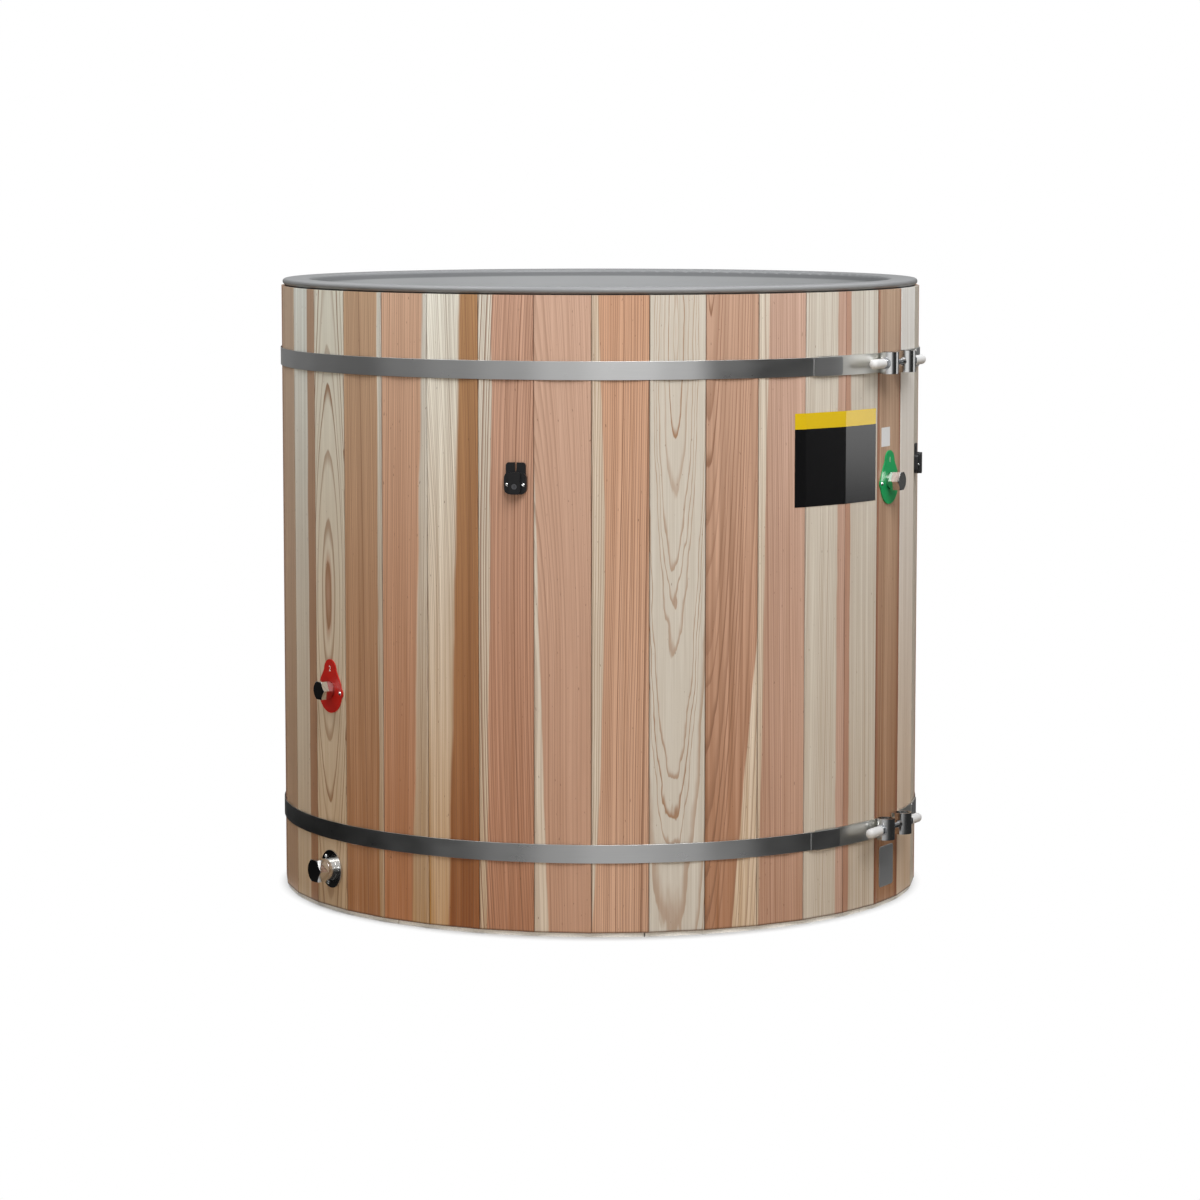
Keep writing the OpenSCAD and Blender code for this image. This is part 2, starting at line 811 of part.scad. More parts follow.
module drain_grate() {
    grate_t = 2;
    hole_d = 5;
    hole_count = 6;
    flange_face = flange_seat(drain_flange_in_d) - gasket_t - layer_gap - flange_t;
    color(steel)
        on_wall(outlet_board, drain_z)
            translate([0, 0, flange_face - grate_t])
                difference() {
                    cylinder(d = drain_flange_in_d, h = grate_t);
                    translate([0, 0, -cut_extra])
                        cylinder(d = hole_d, h = grate_t + 2 * cut_extra);
                    for (i = [0:hole_count - 1])
                        rotate(i * 360 / hole_count)
                            translate([drain_bore / 3, 0, -cut_extra])
                                cylinder(d = hole_d, h = grate_t + 2 * cut_extra);
                }
}

// Hexagonal cap screwed on a threaded end
module thread_cap(board, z, start, af, len, d, grip)
    color(chrome)
        on_wall(board, z)
            translate([0, 0, face_r + start])
                difference() {
                    hex_body(af, len);
                    translate([0, 0, -cut_extra])
                        cylinder(d = d + 2 * thread_fit, h = grip + seal_t + 2 * seal_gap + cut_extra);
                }

module cap_seal(board, z, end, d)
    color("#333333")
        on_wall(board, z)
            translate([0, 0, face_r + end + seal_gap])
                cylinder(d = d - 2 * seal_gap, h = seal_t);

// Receiver for a cover strap: a slotted plate, two screw shoulders and a block with a lock
module cover_clip(board, shift) {
    body_h = clip_h - clip_plate_show;
    body_y = -clip_plate_show / 2;
    body_corner_r = 9;
    block_corner_r = 4;
    plate_h = 30;
    plate_corner_r = 5;
    pocket_depth = 16;
    color(black_plastic)
        on_wall(board, clip_z, shift)
            translate([0, 0, face_r])
                difference() {
                    union() {
                        linear_extrude(clip_plate_t)
                            difference() {
                                union() {
                                    translate([0, clip_h / 2 - plate_h / 2])
                                        rounded(clip_plate_w, plate_h, plate_corner_r);
                                    translate([0, body_y])
                                        rounded(clip_w, body_h, body_corner_r);
                                }
                                translate([0, clip_h / 2 - clip_slot_d / 2])
                                    square([clip_slot_w, clip_slot_d + clip_slot_w], center = true);
                            }
                        linear_extrude(clip_shoulder_t)
                            translate([0, body_y])
                                rounded(clip_w, body_h, body_corner_r);
                        linear_extrude(clip_body_t)
                            translate([0, body_y])
                                rounded(clip_block_w, body_h, block_corner_r);
                    }
                    translate([-clip_pocket_w / 2, clip_h / 2 - clip_plate_show - pocket_depth, clip_plate_t])
                        cube([clip_pocket_w, pocket_depth + cut_extra, clip_pocket_t]);
                    translate([0, -lock_drop, clip_body_t - lock_len - stack_gap])
                        cylinder(d = lock_d + 2 * thread_fit, h = lock_len + cut_extra);
                    for (side = [-1, 1])
                        translate([side * clip_screw_x, -clip_screw_drop, -cut_extra])
                            cylinder(d = screw_d + 2 * screw_clear, h = clip_body_t + 2 * cut_extra);
                    for (side = [-1, 1])
                        translate([side * clip_screw_x, -clip_screw_drop, clip_shoulder_t])
                            cylinder(d = screw_head_d + 2 * screw_clear, h = clip_body_t);
                }
}

module cover_clips()
    for (i = [0:3])
        cover_clip(clip_boards[i], clip_shifts[i]);

// Lock cylinder with its keyway
module lock(i) {
    keyway_w = 1.2;
    keyway_h = 5;
    keyway_d = 3;
    color("#3a3b3d")
        on_wall(clip_boards[i], clip_z - lock_drop, clip_shifts[i])
            translate([0, 0, face_r + clip_body_t - lock_len])
                difference() {
                    cylinder(d = lock_d, h = lock_len);
                    translate([-keyway_w / 2, -keyway_h / 2, lock_len - keyway_d])
                        cube([keyway_w, keyway_h, keyway_d + cut_extra]);
                }
}

// Domed screw head standing on a given height above the board
module wall_screw(screw)
    on_wall(screw[0], screw[2], screw[1])
        translate([0, 0, face_r + screw[3]]) {
            dome_r = (pow(screw_head_d / 2, 2) + pow(screw_head_h, 2)) / 2 / screw_head_h;
            intersection() {
                cylinder(d = screw_head_d, h = screw_head_h);
                translate([0, 0, screw_head_h - dome_r])
                    sphere(dome_r);
            }
            translate([0, 0, -screw[3] - screw_bite])
                cylinder(d = screw_d, h = screw_bite + screw[3] + screw_head_h / 4);
        }

module wall_screws()
    color(chrome)
        for (screw = wall_screws)
            wall_screw(screw);

for (i = [0:front_last - front_first])
    stave(front_first + i, front_tones[i]);
rear_staves();
base_ring();
base_battens();
floor_deck();
insulation();
liner();
lip_seal();
hoop(upper_hoop_z);  // upper_hoop
hoop(lower_hoop_z);  // lower_hoop
hoop_lugs(upper_hoop_z);  // upper_hoop_lugs
hoop_lugs(lower_hoop_z);  // lower_hoop_lugs
tension_rods();
tension_washers();
nut(upper_hoop_z, -1);  // upper_left_nut
nut(upper_hoop_z, 1);  // upper_right_nut
nut(lower_hoop_z, -1);  // lower_left_nut
nut(lower_hoop_z, 1);  // lower_right_nut
end_cap(upper_hoop_z, -1);  // upper_left_end_cap
end_cap(upper_hoop_z, 1);  // upper_right_end_cap
end_cap(lower_hoop_z, -1);  // lower_left_end_cap
end_cap(lower_hoop_z, 1);  // lower_right_end_cap
wall_plate(outlet_board, outlet_z, "#b3241c");  // outlet_plate
wall_plate(inlet_board, inlet_z, "#1f9348");  // inlet_plate
drain_plate();
fitting(outlet_board, outlet_z, port_d, port_bore, port_flange_d, port_end);  // outlet_fitting
fitting(inlet_board, inlet_z, port_d, port_bore, port_flange_d, port_end);  // inlet_fitting
fitting(outlet_board, drain_z, drain_d, drain_bore, drain_flange_in_d, drain_end);  // drain_fitting
flange_gaskets();
locknuts();
suction_strainer();
return_nozzle();
drain_grate();
thread_cap(outlet_board, outlet_z, port_cap_start, cap_af, cap_len, port_d, cap_grip);  // outlet_cap
thread_cap(inlet_board, inlet_z, port_cap_start, cap_af, cap_len, port_d, cap_grip);  // inlet_cap
thread_cap(outlet_board, drain_z, drain_cap_start, drain_cap_af, drain_cap_len, drain_d,  // drain_cap
        drain_cap_grip);
cap_seal(outlet_board, outlet_z, port_end, port_d);  // outlet_seal
cap_seal(inlet_board, inlet_z, port_end, port_d);  // inlet_seal
cap_seal(outlet_board, drain_z, drain_end, drain_d);  // drain_seal
cover_clips();
lock(0);  // front_lock
lock(1);  // right_lock
lock(2);  // back_lock
lock(3);  // left_lock
wall_screws();
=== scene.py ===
import json
import math

import bpy
from mathutils import Matrix, Vector

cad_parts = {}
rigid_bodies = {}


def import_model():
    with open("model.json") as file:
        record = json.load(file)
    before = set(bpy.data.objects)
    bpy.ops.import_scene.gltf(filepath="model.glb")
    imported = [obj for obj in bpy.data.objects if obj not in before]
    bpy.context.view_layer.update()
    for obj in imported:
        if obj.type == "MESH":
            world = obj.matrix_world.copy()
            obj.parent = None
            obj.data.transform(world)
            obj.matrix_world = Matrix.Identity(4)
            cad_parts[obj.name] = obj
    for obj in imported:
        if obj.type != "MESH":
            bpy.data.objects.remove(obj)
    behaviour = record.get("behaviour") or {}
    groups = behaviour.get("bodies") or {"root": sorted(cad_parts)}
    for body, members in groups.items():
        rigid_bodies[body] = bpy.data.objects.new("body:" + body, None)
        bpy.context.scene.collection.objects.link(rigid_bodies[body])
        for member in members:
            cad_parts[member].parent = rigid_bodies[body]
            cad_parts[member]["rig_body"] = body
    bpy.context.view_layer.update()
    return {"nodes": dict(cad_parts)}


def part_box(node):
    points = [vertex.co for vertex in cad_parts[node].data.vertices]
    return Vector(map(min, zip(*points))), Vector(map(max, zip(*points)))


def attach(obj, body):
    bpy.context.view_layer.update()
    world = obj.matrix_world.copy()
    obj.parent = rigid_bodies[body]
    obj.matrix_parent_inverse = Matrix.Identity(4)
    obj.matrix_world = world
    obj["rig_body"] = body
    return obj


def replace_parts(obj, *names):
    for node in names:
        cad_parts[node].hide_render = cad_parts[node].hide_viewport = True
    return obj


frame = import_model()
nodes = frame["nodes"]
collection = bpy.context.scene.collection

# Camera
# A long lens about seven metres from the tub and a little above its rim, tipped down, so that the
# sides of the barrel look almost parallel.
camera_place = (0, -6.869, 1.2576)
camera_tip = math.radians(6.385)
lens_mm = 118.91
sensor_mm = 36
camera_data = bpy.data.cameras.new("photo_camera")
camera_data.lens = lens_mm
camera_data.sensor_width = sensor_mm
camera = bpy.data.objects.new("photo_camera", camera_data)
collection.objects.link(camera)
camera.location = camera_place
camera.rotation_euler = (math.pi / 2 - camera_tip, 0, 0)
bpy.context.scene.camera = camera


# Studio
# A white floor that runs on into a white surround, one large softbox high at the front right and a
# weak one at each side. A curved screen and a mat, seen only in gloss, glow in grey levels set by
# azimuth. They are painted reflections: they stand in for a darker room round the metal, with bright
# bands where the metal should gleam.
def feed(tree, socket, value):
    """Sets a socket to a value, or links it to another node's output."""
    if isinstance(value, bpy.types.NodeSocket):
        tree.links.new(value, socket)
    else:
        socket.default_value = value


def add(tree, kind, settings=(), **inputs):
    """Adds a shader node with its settings, and its inputs as values or as other nodes' outputs."""
    made = tree.nodes.new("ShaderNode" + kind)
    for name, value in settings:
        setattr(made, name, value)
    for name, value in inputs.items():
        feed(tree, made.inputs[name.replace("_", " ")], value)
    return made


def calc(tree, operation, *terms):
    """One step of arithmetic on numbers."""
    made = add(tree, "Math", [("operation", operation)])
    for socket, value in zip(made.inputs, terms):
        feed(tree, socket, value)
    return made.outputs[0]


def calc_vector(tree, operation, *terms):
    """One step of arithmetic on vectors, which gives a vector, or a number for a length or a dot."""
    made = add(tree, "VectorMath", [("operation", operation)])
    for socket, value in zip(made.inputs, terms):
        feed(tree, socket, value)
    return made.outputs["Value" if operation in ("LENGTH", "DOT_PRODUCT") else "Vector"]


def smooth_step(tree, value, low, high):
    """Runs softly from 0 to 1 as a value goes from low to high."""
    return add(tree, "MapRange", [("interpolation_type", "SMOOTHSTEP")], Value=value,
               From_Min=low, From_Max=high).outputs[0]


def blend(tree, amount, first, second, way="MIX"):
    """Mixes two colours."""
    made = add(tree, "Mix", [("data_type", "RGBA"), ("blend_type", way), ("clamp_factor", True)])
    factor, colour_a, colour_b = made.inputs[0], made.inputs[6], made.inputs[7]
    for socket, value in ((factor, amount), (colour_a, first), (colour_b, second)):
        feed(tree, socket, value)
    return made.outputs[2]


def mix_shaders(tree, amount, first, second):
    """Goes from one shader to another as the amount goes from 0 to 1."""
    made = add(tree, "MixShader", Fac=amount)
    tree.links.new(first.outputs[0], made.inputs[1])
    tree.links.new(second.outputs[0], made.inputs[2])
    return made


def show(tree, shader, output="OutputMaterial"):
    """Wires a shader to the tree's output."""
    tree.links.new(shader.outputs[0], add(tree, output).inputs[0])


def new_material(name):
    """Makes a material and gives its empty node tree."""
    material = bpy.data.materials.new(name)
    material.use_nodes = True
    material.node_tree.nodes.clear()
    return material.node_tree


def paint(name, piece):
    """Gives every slot of a piece the named material."""
    piece.data.materials.clear()
    piece.data.materials.append(bpy.data.materials[name])


def object_point(tree):
    """The place on the piece, in metres."""
    return add(tree, "TexCoord").outputs["Object"]


def bearing_of(tree, point):
    """A point's bearing in radians, counted from the camera's side to the right."""
    split = add(tree, "SeparateXYZ", Vector=point)
    return calc(tree, "ARCTAN2", split.outputs[0], calc(tree, "MULTIPLY", split.outputs[1], -1.0))


def background_rays(tree):
    """One for rays that look straight at the surround or see it in metal or glass."""
    path = add(tree, "LightPath")
    seen = calc(tree, "MAXIMUM", path.outputs["Is Camera Ray"], path.outputs["Is Glossy Ray"])
    return calc(tree, "MAXIMUM", seen, path.outputs["Is Transmission Ray"])


white = (1, 1, 1, 1)
surround_light = 0.40
surround_tone = (0.94, 0.975, 1, 1)
world = bpy.data.worlds.new("studio_surround")
bpy.context.scene.world = world
world.use_nodes = True
tree = world.node_tree
tree.nodes.clear()
lighting = add(tree, "Background", Color=surround_tone, Strength=surround_light)
seen = add(tree, "Background", Color=white, Strength=1.0)
show(tree, mix_shaders(tree, background_rays(tree), lighting, seen), "OutputWorld")

# Close to the barrel the floor keeps its shadow, and further out it is plain white.
floor_side = 60
floor_tone = (0.55, 0.47, 0.38, 1)
floor_tone_seen = (0.50, 0.50, 0.50, 1)
shade_inner_r = 0.548
shade_outer_r = 0.588
shade_squeeze = 1.04
tree = new_material("studio_floor")
place = add(tree, "NewGeometry").outputs["Position"]
reach = calc_vector(tree, "LENGTH", calc_vector(tree, "MULTIPLY", place, (shade_squeeze, 1, 0)))
clear = smooth_step(tree, reach, shade_inner_r, shade_outer_r)
seen_ray = background_rays(tree)
lit = add(tree, "BsdfDiffuse", Color=blend(tree, seen_ray, floor_tone, floor_tone_seen))
glow = add(tree, "Emission", Color=white, Strength=1.0)
show(tree, mix_shaders(tree, calc(tree, "MULTIPLY", seen_ray, clear), lit, glow))

bpy.ops.object.select_all(action="DESELECT")
bpy.ops.mesh.primitive_plane_add(size=floor_side, location=(0, 0, 0))
floor = bpy.context.object
floor.name = "studio_floor"
paint("studio_floor", floor)

lamp_aim = Vector((0, 0, 0.6))


def softbox(name, azimuth, elevation, distance, width, height, power):
    """A lamp that looks at the tub, its azimuth counted from the camera to the right."""
    lamp = bpy.data.lights.new(name, "AREA")
    lamp.shape = "RECTANGLE"
    lamp.size = width
    lamp.size_y = height
    lamp.energy = power
    holder = bpy.data.objects.new(name, lamp)
    collection.objects.link(holder)
    turn, rise = math.radians(azimuth), math.radians(elevation)
    away = Vector((math.sin(turn) * math.cos(rise), -math.cos(turn) * math.cos(rise), math.sin(rise)))
    holder.location = lamp_aim + away * distance
    holder.rotation_mode = "QUATERNION"
    holder.rotation_quaternion = (-away).to_track_quat("-Z", "Y")
    holder.visible_camera = False


softbox("softbox_front", azimuth=20, elevation=50, distance=3.8, width=2.4, height=1.8, power=150)
softbox("softbox_left", azimuth=-80, elevation=60, distance=3.0, width=1.6, height=1.6, power=38)
softbox("softbox_right", azimuth=100, elevation=55, distance=3.4, width=1.6, height=1.6, power=22)

strip_steps = 96
screen_r = 5.0
screen_foot = 0.36
screen_top = 3.2
mat_inner_r = 0.57
mat_h = 0.003


def gloss_tones(name, tones):
    """A glowing material: grey levels by azimuth, from the camera to the right."""
    tree = new_material(name)
    turn = bearing_of(tree, object_point(tree))
    ramp = add(tree, "ValToRGB")
    tree.links.new(calc(tree, "MULTIPLY_ADD", turn, 0.5 / math.pi, 0.5), ramp.inputs[0])
    stops = ramp.color_ramp.elements
    while len(stops) < len(tones):
        stops.new(0.5)
    for stop, (azimuth, level) in zip(stops, tones):
        stop.position = azimuth / 360 + 0.5
        stop.color = (level, level, level, 1)
    show(tree, add(tree, "Emission", Color=ramp.outputs[0], Strength=1.0))


def gloss_strip(name, material, inner, outer):
    """A strip all round the tub, from one radius and height to another, seen only in gloss."""
    bpy.ops.object.select_all(action="DESELECT")
    bpy.ops.mesh.primitive_grid_add(x_subdivisions=strip_steps, y_subdivisions=1, size=2)
    strip = bpy.context.object
    strip.name = name
    for vertex in strip.data.vertices:
        turn = math.pi * vertex.co.x
        radius, height = Vector(inner).lerp(Vector(outer), (vertex.co.y + 1) / 2)
        vertex.co = (radius * math.sin(turn), -radius * math.cos(turn), height)
    paint(material, strip)
    strip.visible_camera = False
    strip.visible_diffuse = False
    strip.visible_transmission = False
    strip.visible_shadow = False


# Painted reflections: the grey levels, by azimuth, that the metal shows of the screen and the mat.
gloss_tones("screen_tones", [
    (-180, 0.24), (-130, 0.24), (-108, 0.21), (-90, 0.14), (-72, 0.31), (-50, 0.44), (-30, 0.56),
    (-12, 0.80), (0, 1.0), (24, 1.0), (36, 0.26), (48, 0.06), (62, 0.03), (88, 0.03), (91.5, 1.0),
    (113, 1.0), (116, 0.08), (150, 0.14), (180, 0.24),
])
gloss_tones("mat_tones", [
    (-180, 0.30), (-162, 0.20), (-146, 0.06), (-118, 0.020), (-88, 0.001), (-70, 0.008), (-45, 0.035),
    (-22, 0.23), (0, 0.56), (22, 0.46), (45, 0.06), (60, 0.03), (91, 0.03), (108, 0.04), (120, 0.09),
    (146, 0.08), (162, 0.20), (180, 0.30),
])
gloss_strip("gloss_screen", "screen_tones", (screen_r, screen_foot), (screen_r, screen_top))
gloss_strip("gloss_mat", "mat_tones", (mat_inner_r, mat_h), (screen_r, screen_foot))

bpy.context.scene.view_settings.view_transform = "Standard"


# Base ring, battens, deck and insulation
# The barrel stands on a ring of moulded wood-plastic pieces and plywood battens, which carry a
# plywood deck. Foam fills the space between the boards and the liner.
def principled(tree, **inputs):
    """A principled shader wired to the material's output."""
    show(tree, add(tree, "BsdfPrincipled", **inputs))


def noise(tree, point, patch, detail=2.0, seed=0.0, roughness=0.5):
    """Noise in patches of one size, or of three sizes along x, y and z."""
    sizes = patch if isinstance(patch, tuple) else (patch, patch, patch)
    made = add(tree, "TexNoise", [("noise_dimensions", "4D")], W=seed, Scale=1.0, Detail=detail,
               Roughness=roughness, Vector=calc_vector(tree, "DIVIDE", point, sizes))
    return made.outputs[0]


def bump(tree, height, depth):
    """A bump whose height runs from 0 to 1 over a depth in metres."""
    return add(tree, "Bump", Strength=1.0, Distance=depth, Height=height).outputs[0]


def speckled(name, tone, other, patch, rough, depth):
    """A plain stock whose colour runs between two tones in patches of a given size."""
    tree = new_material(name)
    grain = noise(tree, object_point(tree), patch, detail=4.0, roughness=0.65)
    colour = blend(tree, smooth_step(tree, grain, 0.3, 0.7), (*tone, 1), (*other, 1))
    principled(tree, Base_Color=colour, Roughness=rough, Normal=bump(tree, grain, depth))


speckled("base_moulding", (0.88, 0.86, 0.82), (0.76, 0.74, 0.69), 0.004, 0.6, 0.0002)
speckled("batten_plywood", (0.48, 0.34, 0.19), (0.36, 0.24, 0.13), (0.12, 0.006, 0.006), 0.65, 0.0003)
speckled("deck_plywood", (0.55, 0.41, 0.25), (0.44, 0.31, 0.18), (0.15, 0.008, 0.008), 0.6, 0.0003)
speckled("wall_foam", (0.72, 0.66, 0.46), (0.62, 0.55, 0.36), 0.006, 0.85, 0.0006)
paint("base_moulding", nodes["base_ring"])
paint("batten_plywood", nodes["base_battens"])
paint("deck_plywood", nodes["floor_deck"])
paint("wall_foam", nodes["insulation"])

# Liner
# One grey moulding of glossy plastic: the tub and the lip that covers the tops of the boards. Its
# skin has a slow ripple from the mould and a few fine scuffs. The lip is drawn darker than the walls
# as painted shade, though it is the same plastic.
lip_foot = 1.038
lip_edge = 0.0015
tree = new_material("liner_gloss")
point = object_point(tree)
cloud = noise(tree, point, (0.25, 0.25, 0.5))
ripple = noise(tree, point, (0.12, 0.12, 0.20), detail=1.0, seed=3.0)
scuff = noise(tree, point, (0.02, 0.02, 0.003), detail=4.0, seed=8.0)
wall_tone = blend(tree, cloud, (0.335, 0.340, 0.345, 1), (0.395, 0.398, 0.400, 1))
# Painted shade: a darker tone for the lip, which is the same plastic as the walls.
painted_shade_lip_tone = blend(tree, cloud, (0.185, 0.190, 0.195, 1), (0.225, 0.228, 0.232, 1))
height = add(tree, "SeparateXYZ", Vector=point).outputs[2]
lip = smooth_step(tree, height, lip_foot - lip_edge, lip_foot + lip_edge)
principled(tree, Base_Color=blend(tree, lip, wall_tone, painted_shade_lip_tone), Specular_IOR_Level=0.22,
           Roughness=calc(tree, "MULTIPLY_ADD", scuff, 0.16, 0.26), Normal=bump(tree, ripple, 0.002))

crease = 35
merge_reach = 0.00001
flat_limit = math.radians(0.5)


def pick(piece):
    """Selects one piece alone and makes it the active one."""
    bpy.ops.object.select_all(action="DESELECT")
    piece.select_set(True)
    bpy.context.view_layer.objects.active = piece


def modify(piece, kind, **settings):
    """Puts a modifier on the active piece and applies it."""
    modifier = piece.modifiers.new(kind.lower(), kind)
    for name, value in settings.items():
        setattr(modifier, name, value)
    bpy.ops.object.modifier_apply(modifier=modifier.name)


def dressed_copy(node, name, edge, material, segments=2, hard_angle=crease):
    """Copies a CAD node, merges its triangles, rounds its edges and lets the copy stand for it."""
    source = nodes[node]
    piece = bpy.data.objects.new(name, source.data.copy())
    collection.objects.link(piece)
    pick(piece)
    bpy.ops.mesh.customdata_custom_splitnormals_clear()
    bpy.ops.object.mode_set(mode="EDIT")
    bpy.ops.mesh.select_all(action="SELECT")
    bpy.ops.mesh.remove_doubles(threshold=merge_reach)
    bpy.ops.mesh.dissolve_limited(angle_limit=flat_limit)
    bpy.ops.object.mode_set(mode="OBJECT")
    if edge:
        modify(piece, "BEVEL", width=edge, segments=segments, limit_method="ANGLE",
               angle_limit=math.radians(hard_angle))
    bpy.ops.object.shade_smooth_by_angle(angle=math.radians(hard_angle))
    modify(piece, "WEIGHTED_NORMAL", keep_sharp=True)
    paint(material, piece)
    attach(piece, source["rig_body"])
    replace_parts(piece, node)
    return piece


dressed_copy("liner", "tub_and_lip", 0.0, "liner_gloss")

# Lip seal
# A soft black rubber strip, squeezed between the tops of the boards and the lip, which keeps
# splashes from running down behind the boards.
speckled("seal_rubber", (0.018, 0.018, 0.019), (0.030, 0.030, 0.031), 0.002, 0.7, 0.0001)
paint("seal_rubber", nodes["lip_seal"])

# Boards
# Clear western cedar, sawn from the log in long boards and planed, with a clear matt finish. The
# rings are drawn as they are in the log: circles round a pith that runs a little out of line with
# the board, so that flat-sawn boards show arches and the others show straight lines.
board_count = 37
first_joint = -1.45
pitch = 360 / board_count
barrel_r_mm = 550
face_mm = barrel_r_mm * math.cos(math.radians(pitch / 2))
half_width_mm = face_mm * math.tan(math.radians(pitch / 2))
half_length_mm = 515.5
middle_mm = 522.5
joint_shadow_mm = 1.5
foot_shadow_mm = 4.0
foot_shadow_strength = 0.9
eased_edge_mm = 2.8
shadow_tone = (0.075, 0.04, 0.022, 1)
resin_tone = (0.10, 0.045, 0.025, 1)

# The depth of the grain in metres, and how many times deeper the eased edges of a board go.
grain_relief = 0.00012
eased_edge_times = 6.0

# The late line of a ring is darkest at one share of the ring's width and fades from another. Rings
# are wide or narrow for a few years at a time, and the heartwood's edges sway.
late_line_peak = 0.90
late_line_fade = 0.93
uneven_years = 2.2
heart_sway_mm = 8.0
core_edge_mm = 0.8
cloud_shade = 0.10
fibre_shade = 0.38
fleck_start = 0.79
fleck_full = 0.86
fleck_strength = 0.55


def board_bearing(board):
    """The bearing in degrees of a board's middle, from the camera's side to the right."""
    return first_joint + pitch * (board + 0.5)


def board_noise(group, given, patch, detail=2.0, step=0.0, roughness=0.5):
    """Noise that each board draws for itself. The step sets one noise apart from another."""
    seed = calc(group, "ADD", given["seed"], step)
    return noise(group, given["point"], patch, detail, seed, roughness)


def centred(group, value):
    """Moves a noise from about a half to about zero."""
    return calc(group, "SUBTRACT", value, 0.5)


def rising(group, value, climb, levelling=0.0):
    """A value up the board, from its value at mid height, its lean and its bow, which may level out."""
    square = calc(group, "MULTIPLY", climb, climb)
    bow = calc(group, "DIVIDE", square, calc(group, "MULTIPLY_ADD", square, levelling, 1.0))
    powers = add(group, "CombineXYZ", X=1.0, Y=climb, Z=bow).outputs[0]
    return calc_vector(group, "DOT_PRODUCT", value, powers)


def pith_distance(group, given, across, inwards, climb):
    """The distance from the pith, with the slow wander and the quick ripple of the rings."""
    aside = calc(group, "SUBTRACT", across, rising(group, given["pith"], climb))
    depth = calc(group, "SUBTRACT", rising(group, given["depth"], climb, levelling=2.0), inwards)
    radius = calc(group, "SQRT", calc(group, "ADD", calc(group, "MULTIPLY", aside, aside),
                                      calc(group, "MULTIPLY", depth, depth)))
    slow = centred(group, board_noise(group, given, (70, 70, 420), detail=1.0))
    quick = centred(group, board_noise(group, given, (17, 17, 75)))
    for wave, size in ((slow, given["wander"]), (quick, given["ripple"])):
        radius = calc(group, "MULTIPLY_ADD", wave, calc(group, "MULTIPLY", size, 2.0), radius)
    return radius


def late_lines(group, given, radius):
    """The rings: pale early wood that darkens into a thin late line, stronger in some years."""
    years = calc(group, "DIVIDE", radius, given["ring"])
    uneven = add(group, "TexNoise", [("noise_dimensions", "1D")], Scale=0.35, Detail=1.0,
                 W=calc(group, "ADD", years, calc(group, "MULTIPLY", given["seed"], 13.0)))
    years = calc(group, "MULTIPLY_ADD", uneven.outputs[0], uneven_years, years)
    part = calc(group, "FRACT", years)
    start = calc(group, "SUBTRACT", late_line_fade, given["share"])
    late = smooth_step(group, part, start, late_line_peak)
    fall = calc(group, "SUBTRACT", 1.0, smooth_step(group, part, late_line_fade, 1.0))
    year = add(group, "TexWhiteNoise", [("noise_dimensions", "1D")],
               W=calc(group, "ADD", calc(group, "FLOOR", years), given["seed"]))
    strength = calc(group, "MULTIPLY_ADD", year.outputs[0], 0.60, 0.40)
    return calc(group, "MULTIPLY", calc(group, "MULTIPLY", late, fall), strength)


def heartwood(group, given, across, climb, radius):
    """One in the heartwood, which lies between two wandering edges or close round the pith."""
    sway = centred(group, board_noise(group, given, (300, 300, 130)))
    moved = calc(group, "MULTIPLY_ADD", sway, heart_sway_mm, across)
    soft = given["edge"]
    passed = []
    for name in ("left", "right"):
        edge = rising(group, given[name], climb)
        start, end = calc(group, "SUBTRACT", edge, soft), calc(group, "ADD", edge, soft)
        passed.append(smooth_step(group, moved, start, end))
    between = calc(group, "MULTIPLY", passed[0], calc(group, "SUBTRACT", 1.0, passed[1]))
    core = calc(group, "SUBTRACT", given["core"], radius)
    return calc(group, "MAXIMUM", between, smooth_step(group, core, -core_edge_mm, core_edge_mm))


def wood_tone(group, given, heart, fibre, climb):
    """Heartwood and sapwood, with long streaks, slow clouds and fine fibre, and painted light that drifts
    the tone up the board.
    """
    streak = centred(group, board_noise(group, given, (9, 9, 900), detail=3.0, step=5.0, roughness=0.6))
    cloud = centred(group, board_noise(group, given, (60, 60, 300), detail=1.0, step=9.0))
    shade = calc(group, "MULTIPLY", streak, given["streaks"])
    shade = calc(group, "MULTIPLY_ADD", cloud, cloud_shade, shade)
    shade = calc(group, "MULTIPLY_ADD", centred(group, fibre), fibre_shade, shade)
    # Painted light: by each board's amount, the tone grows paler towards the top and darker and warmer
    # towards the foot, blue most and red least.
    drift = calc(group, "MULTIPLY", climb, given["drift"])
    parts = []
    for by_shade, by_painted_light_drift in ((1.0, 0.5), (1.25, 1.0), (1.5, 1.5)):
        part = calc(group, "MULTIPLY_ADD", shade, by_shade, 1.0)
        parts.append(calc(group, "MULTIPLY_ADD", drift, by_painted_light_drift, part))
    tint = add(group, "CombineColor", Red=parts[0], Green=parts[1], Blue=parts[2]).outputs[0]
    tone = blend(group, heart, given["sap"], given["heart"])
    return blend(group, 1.0, tone, tint, "MULTIPLY")


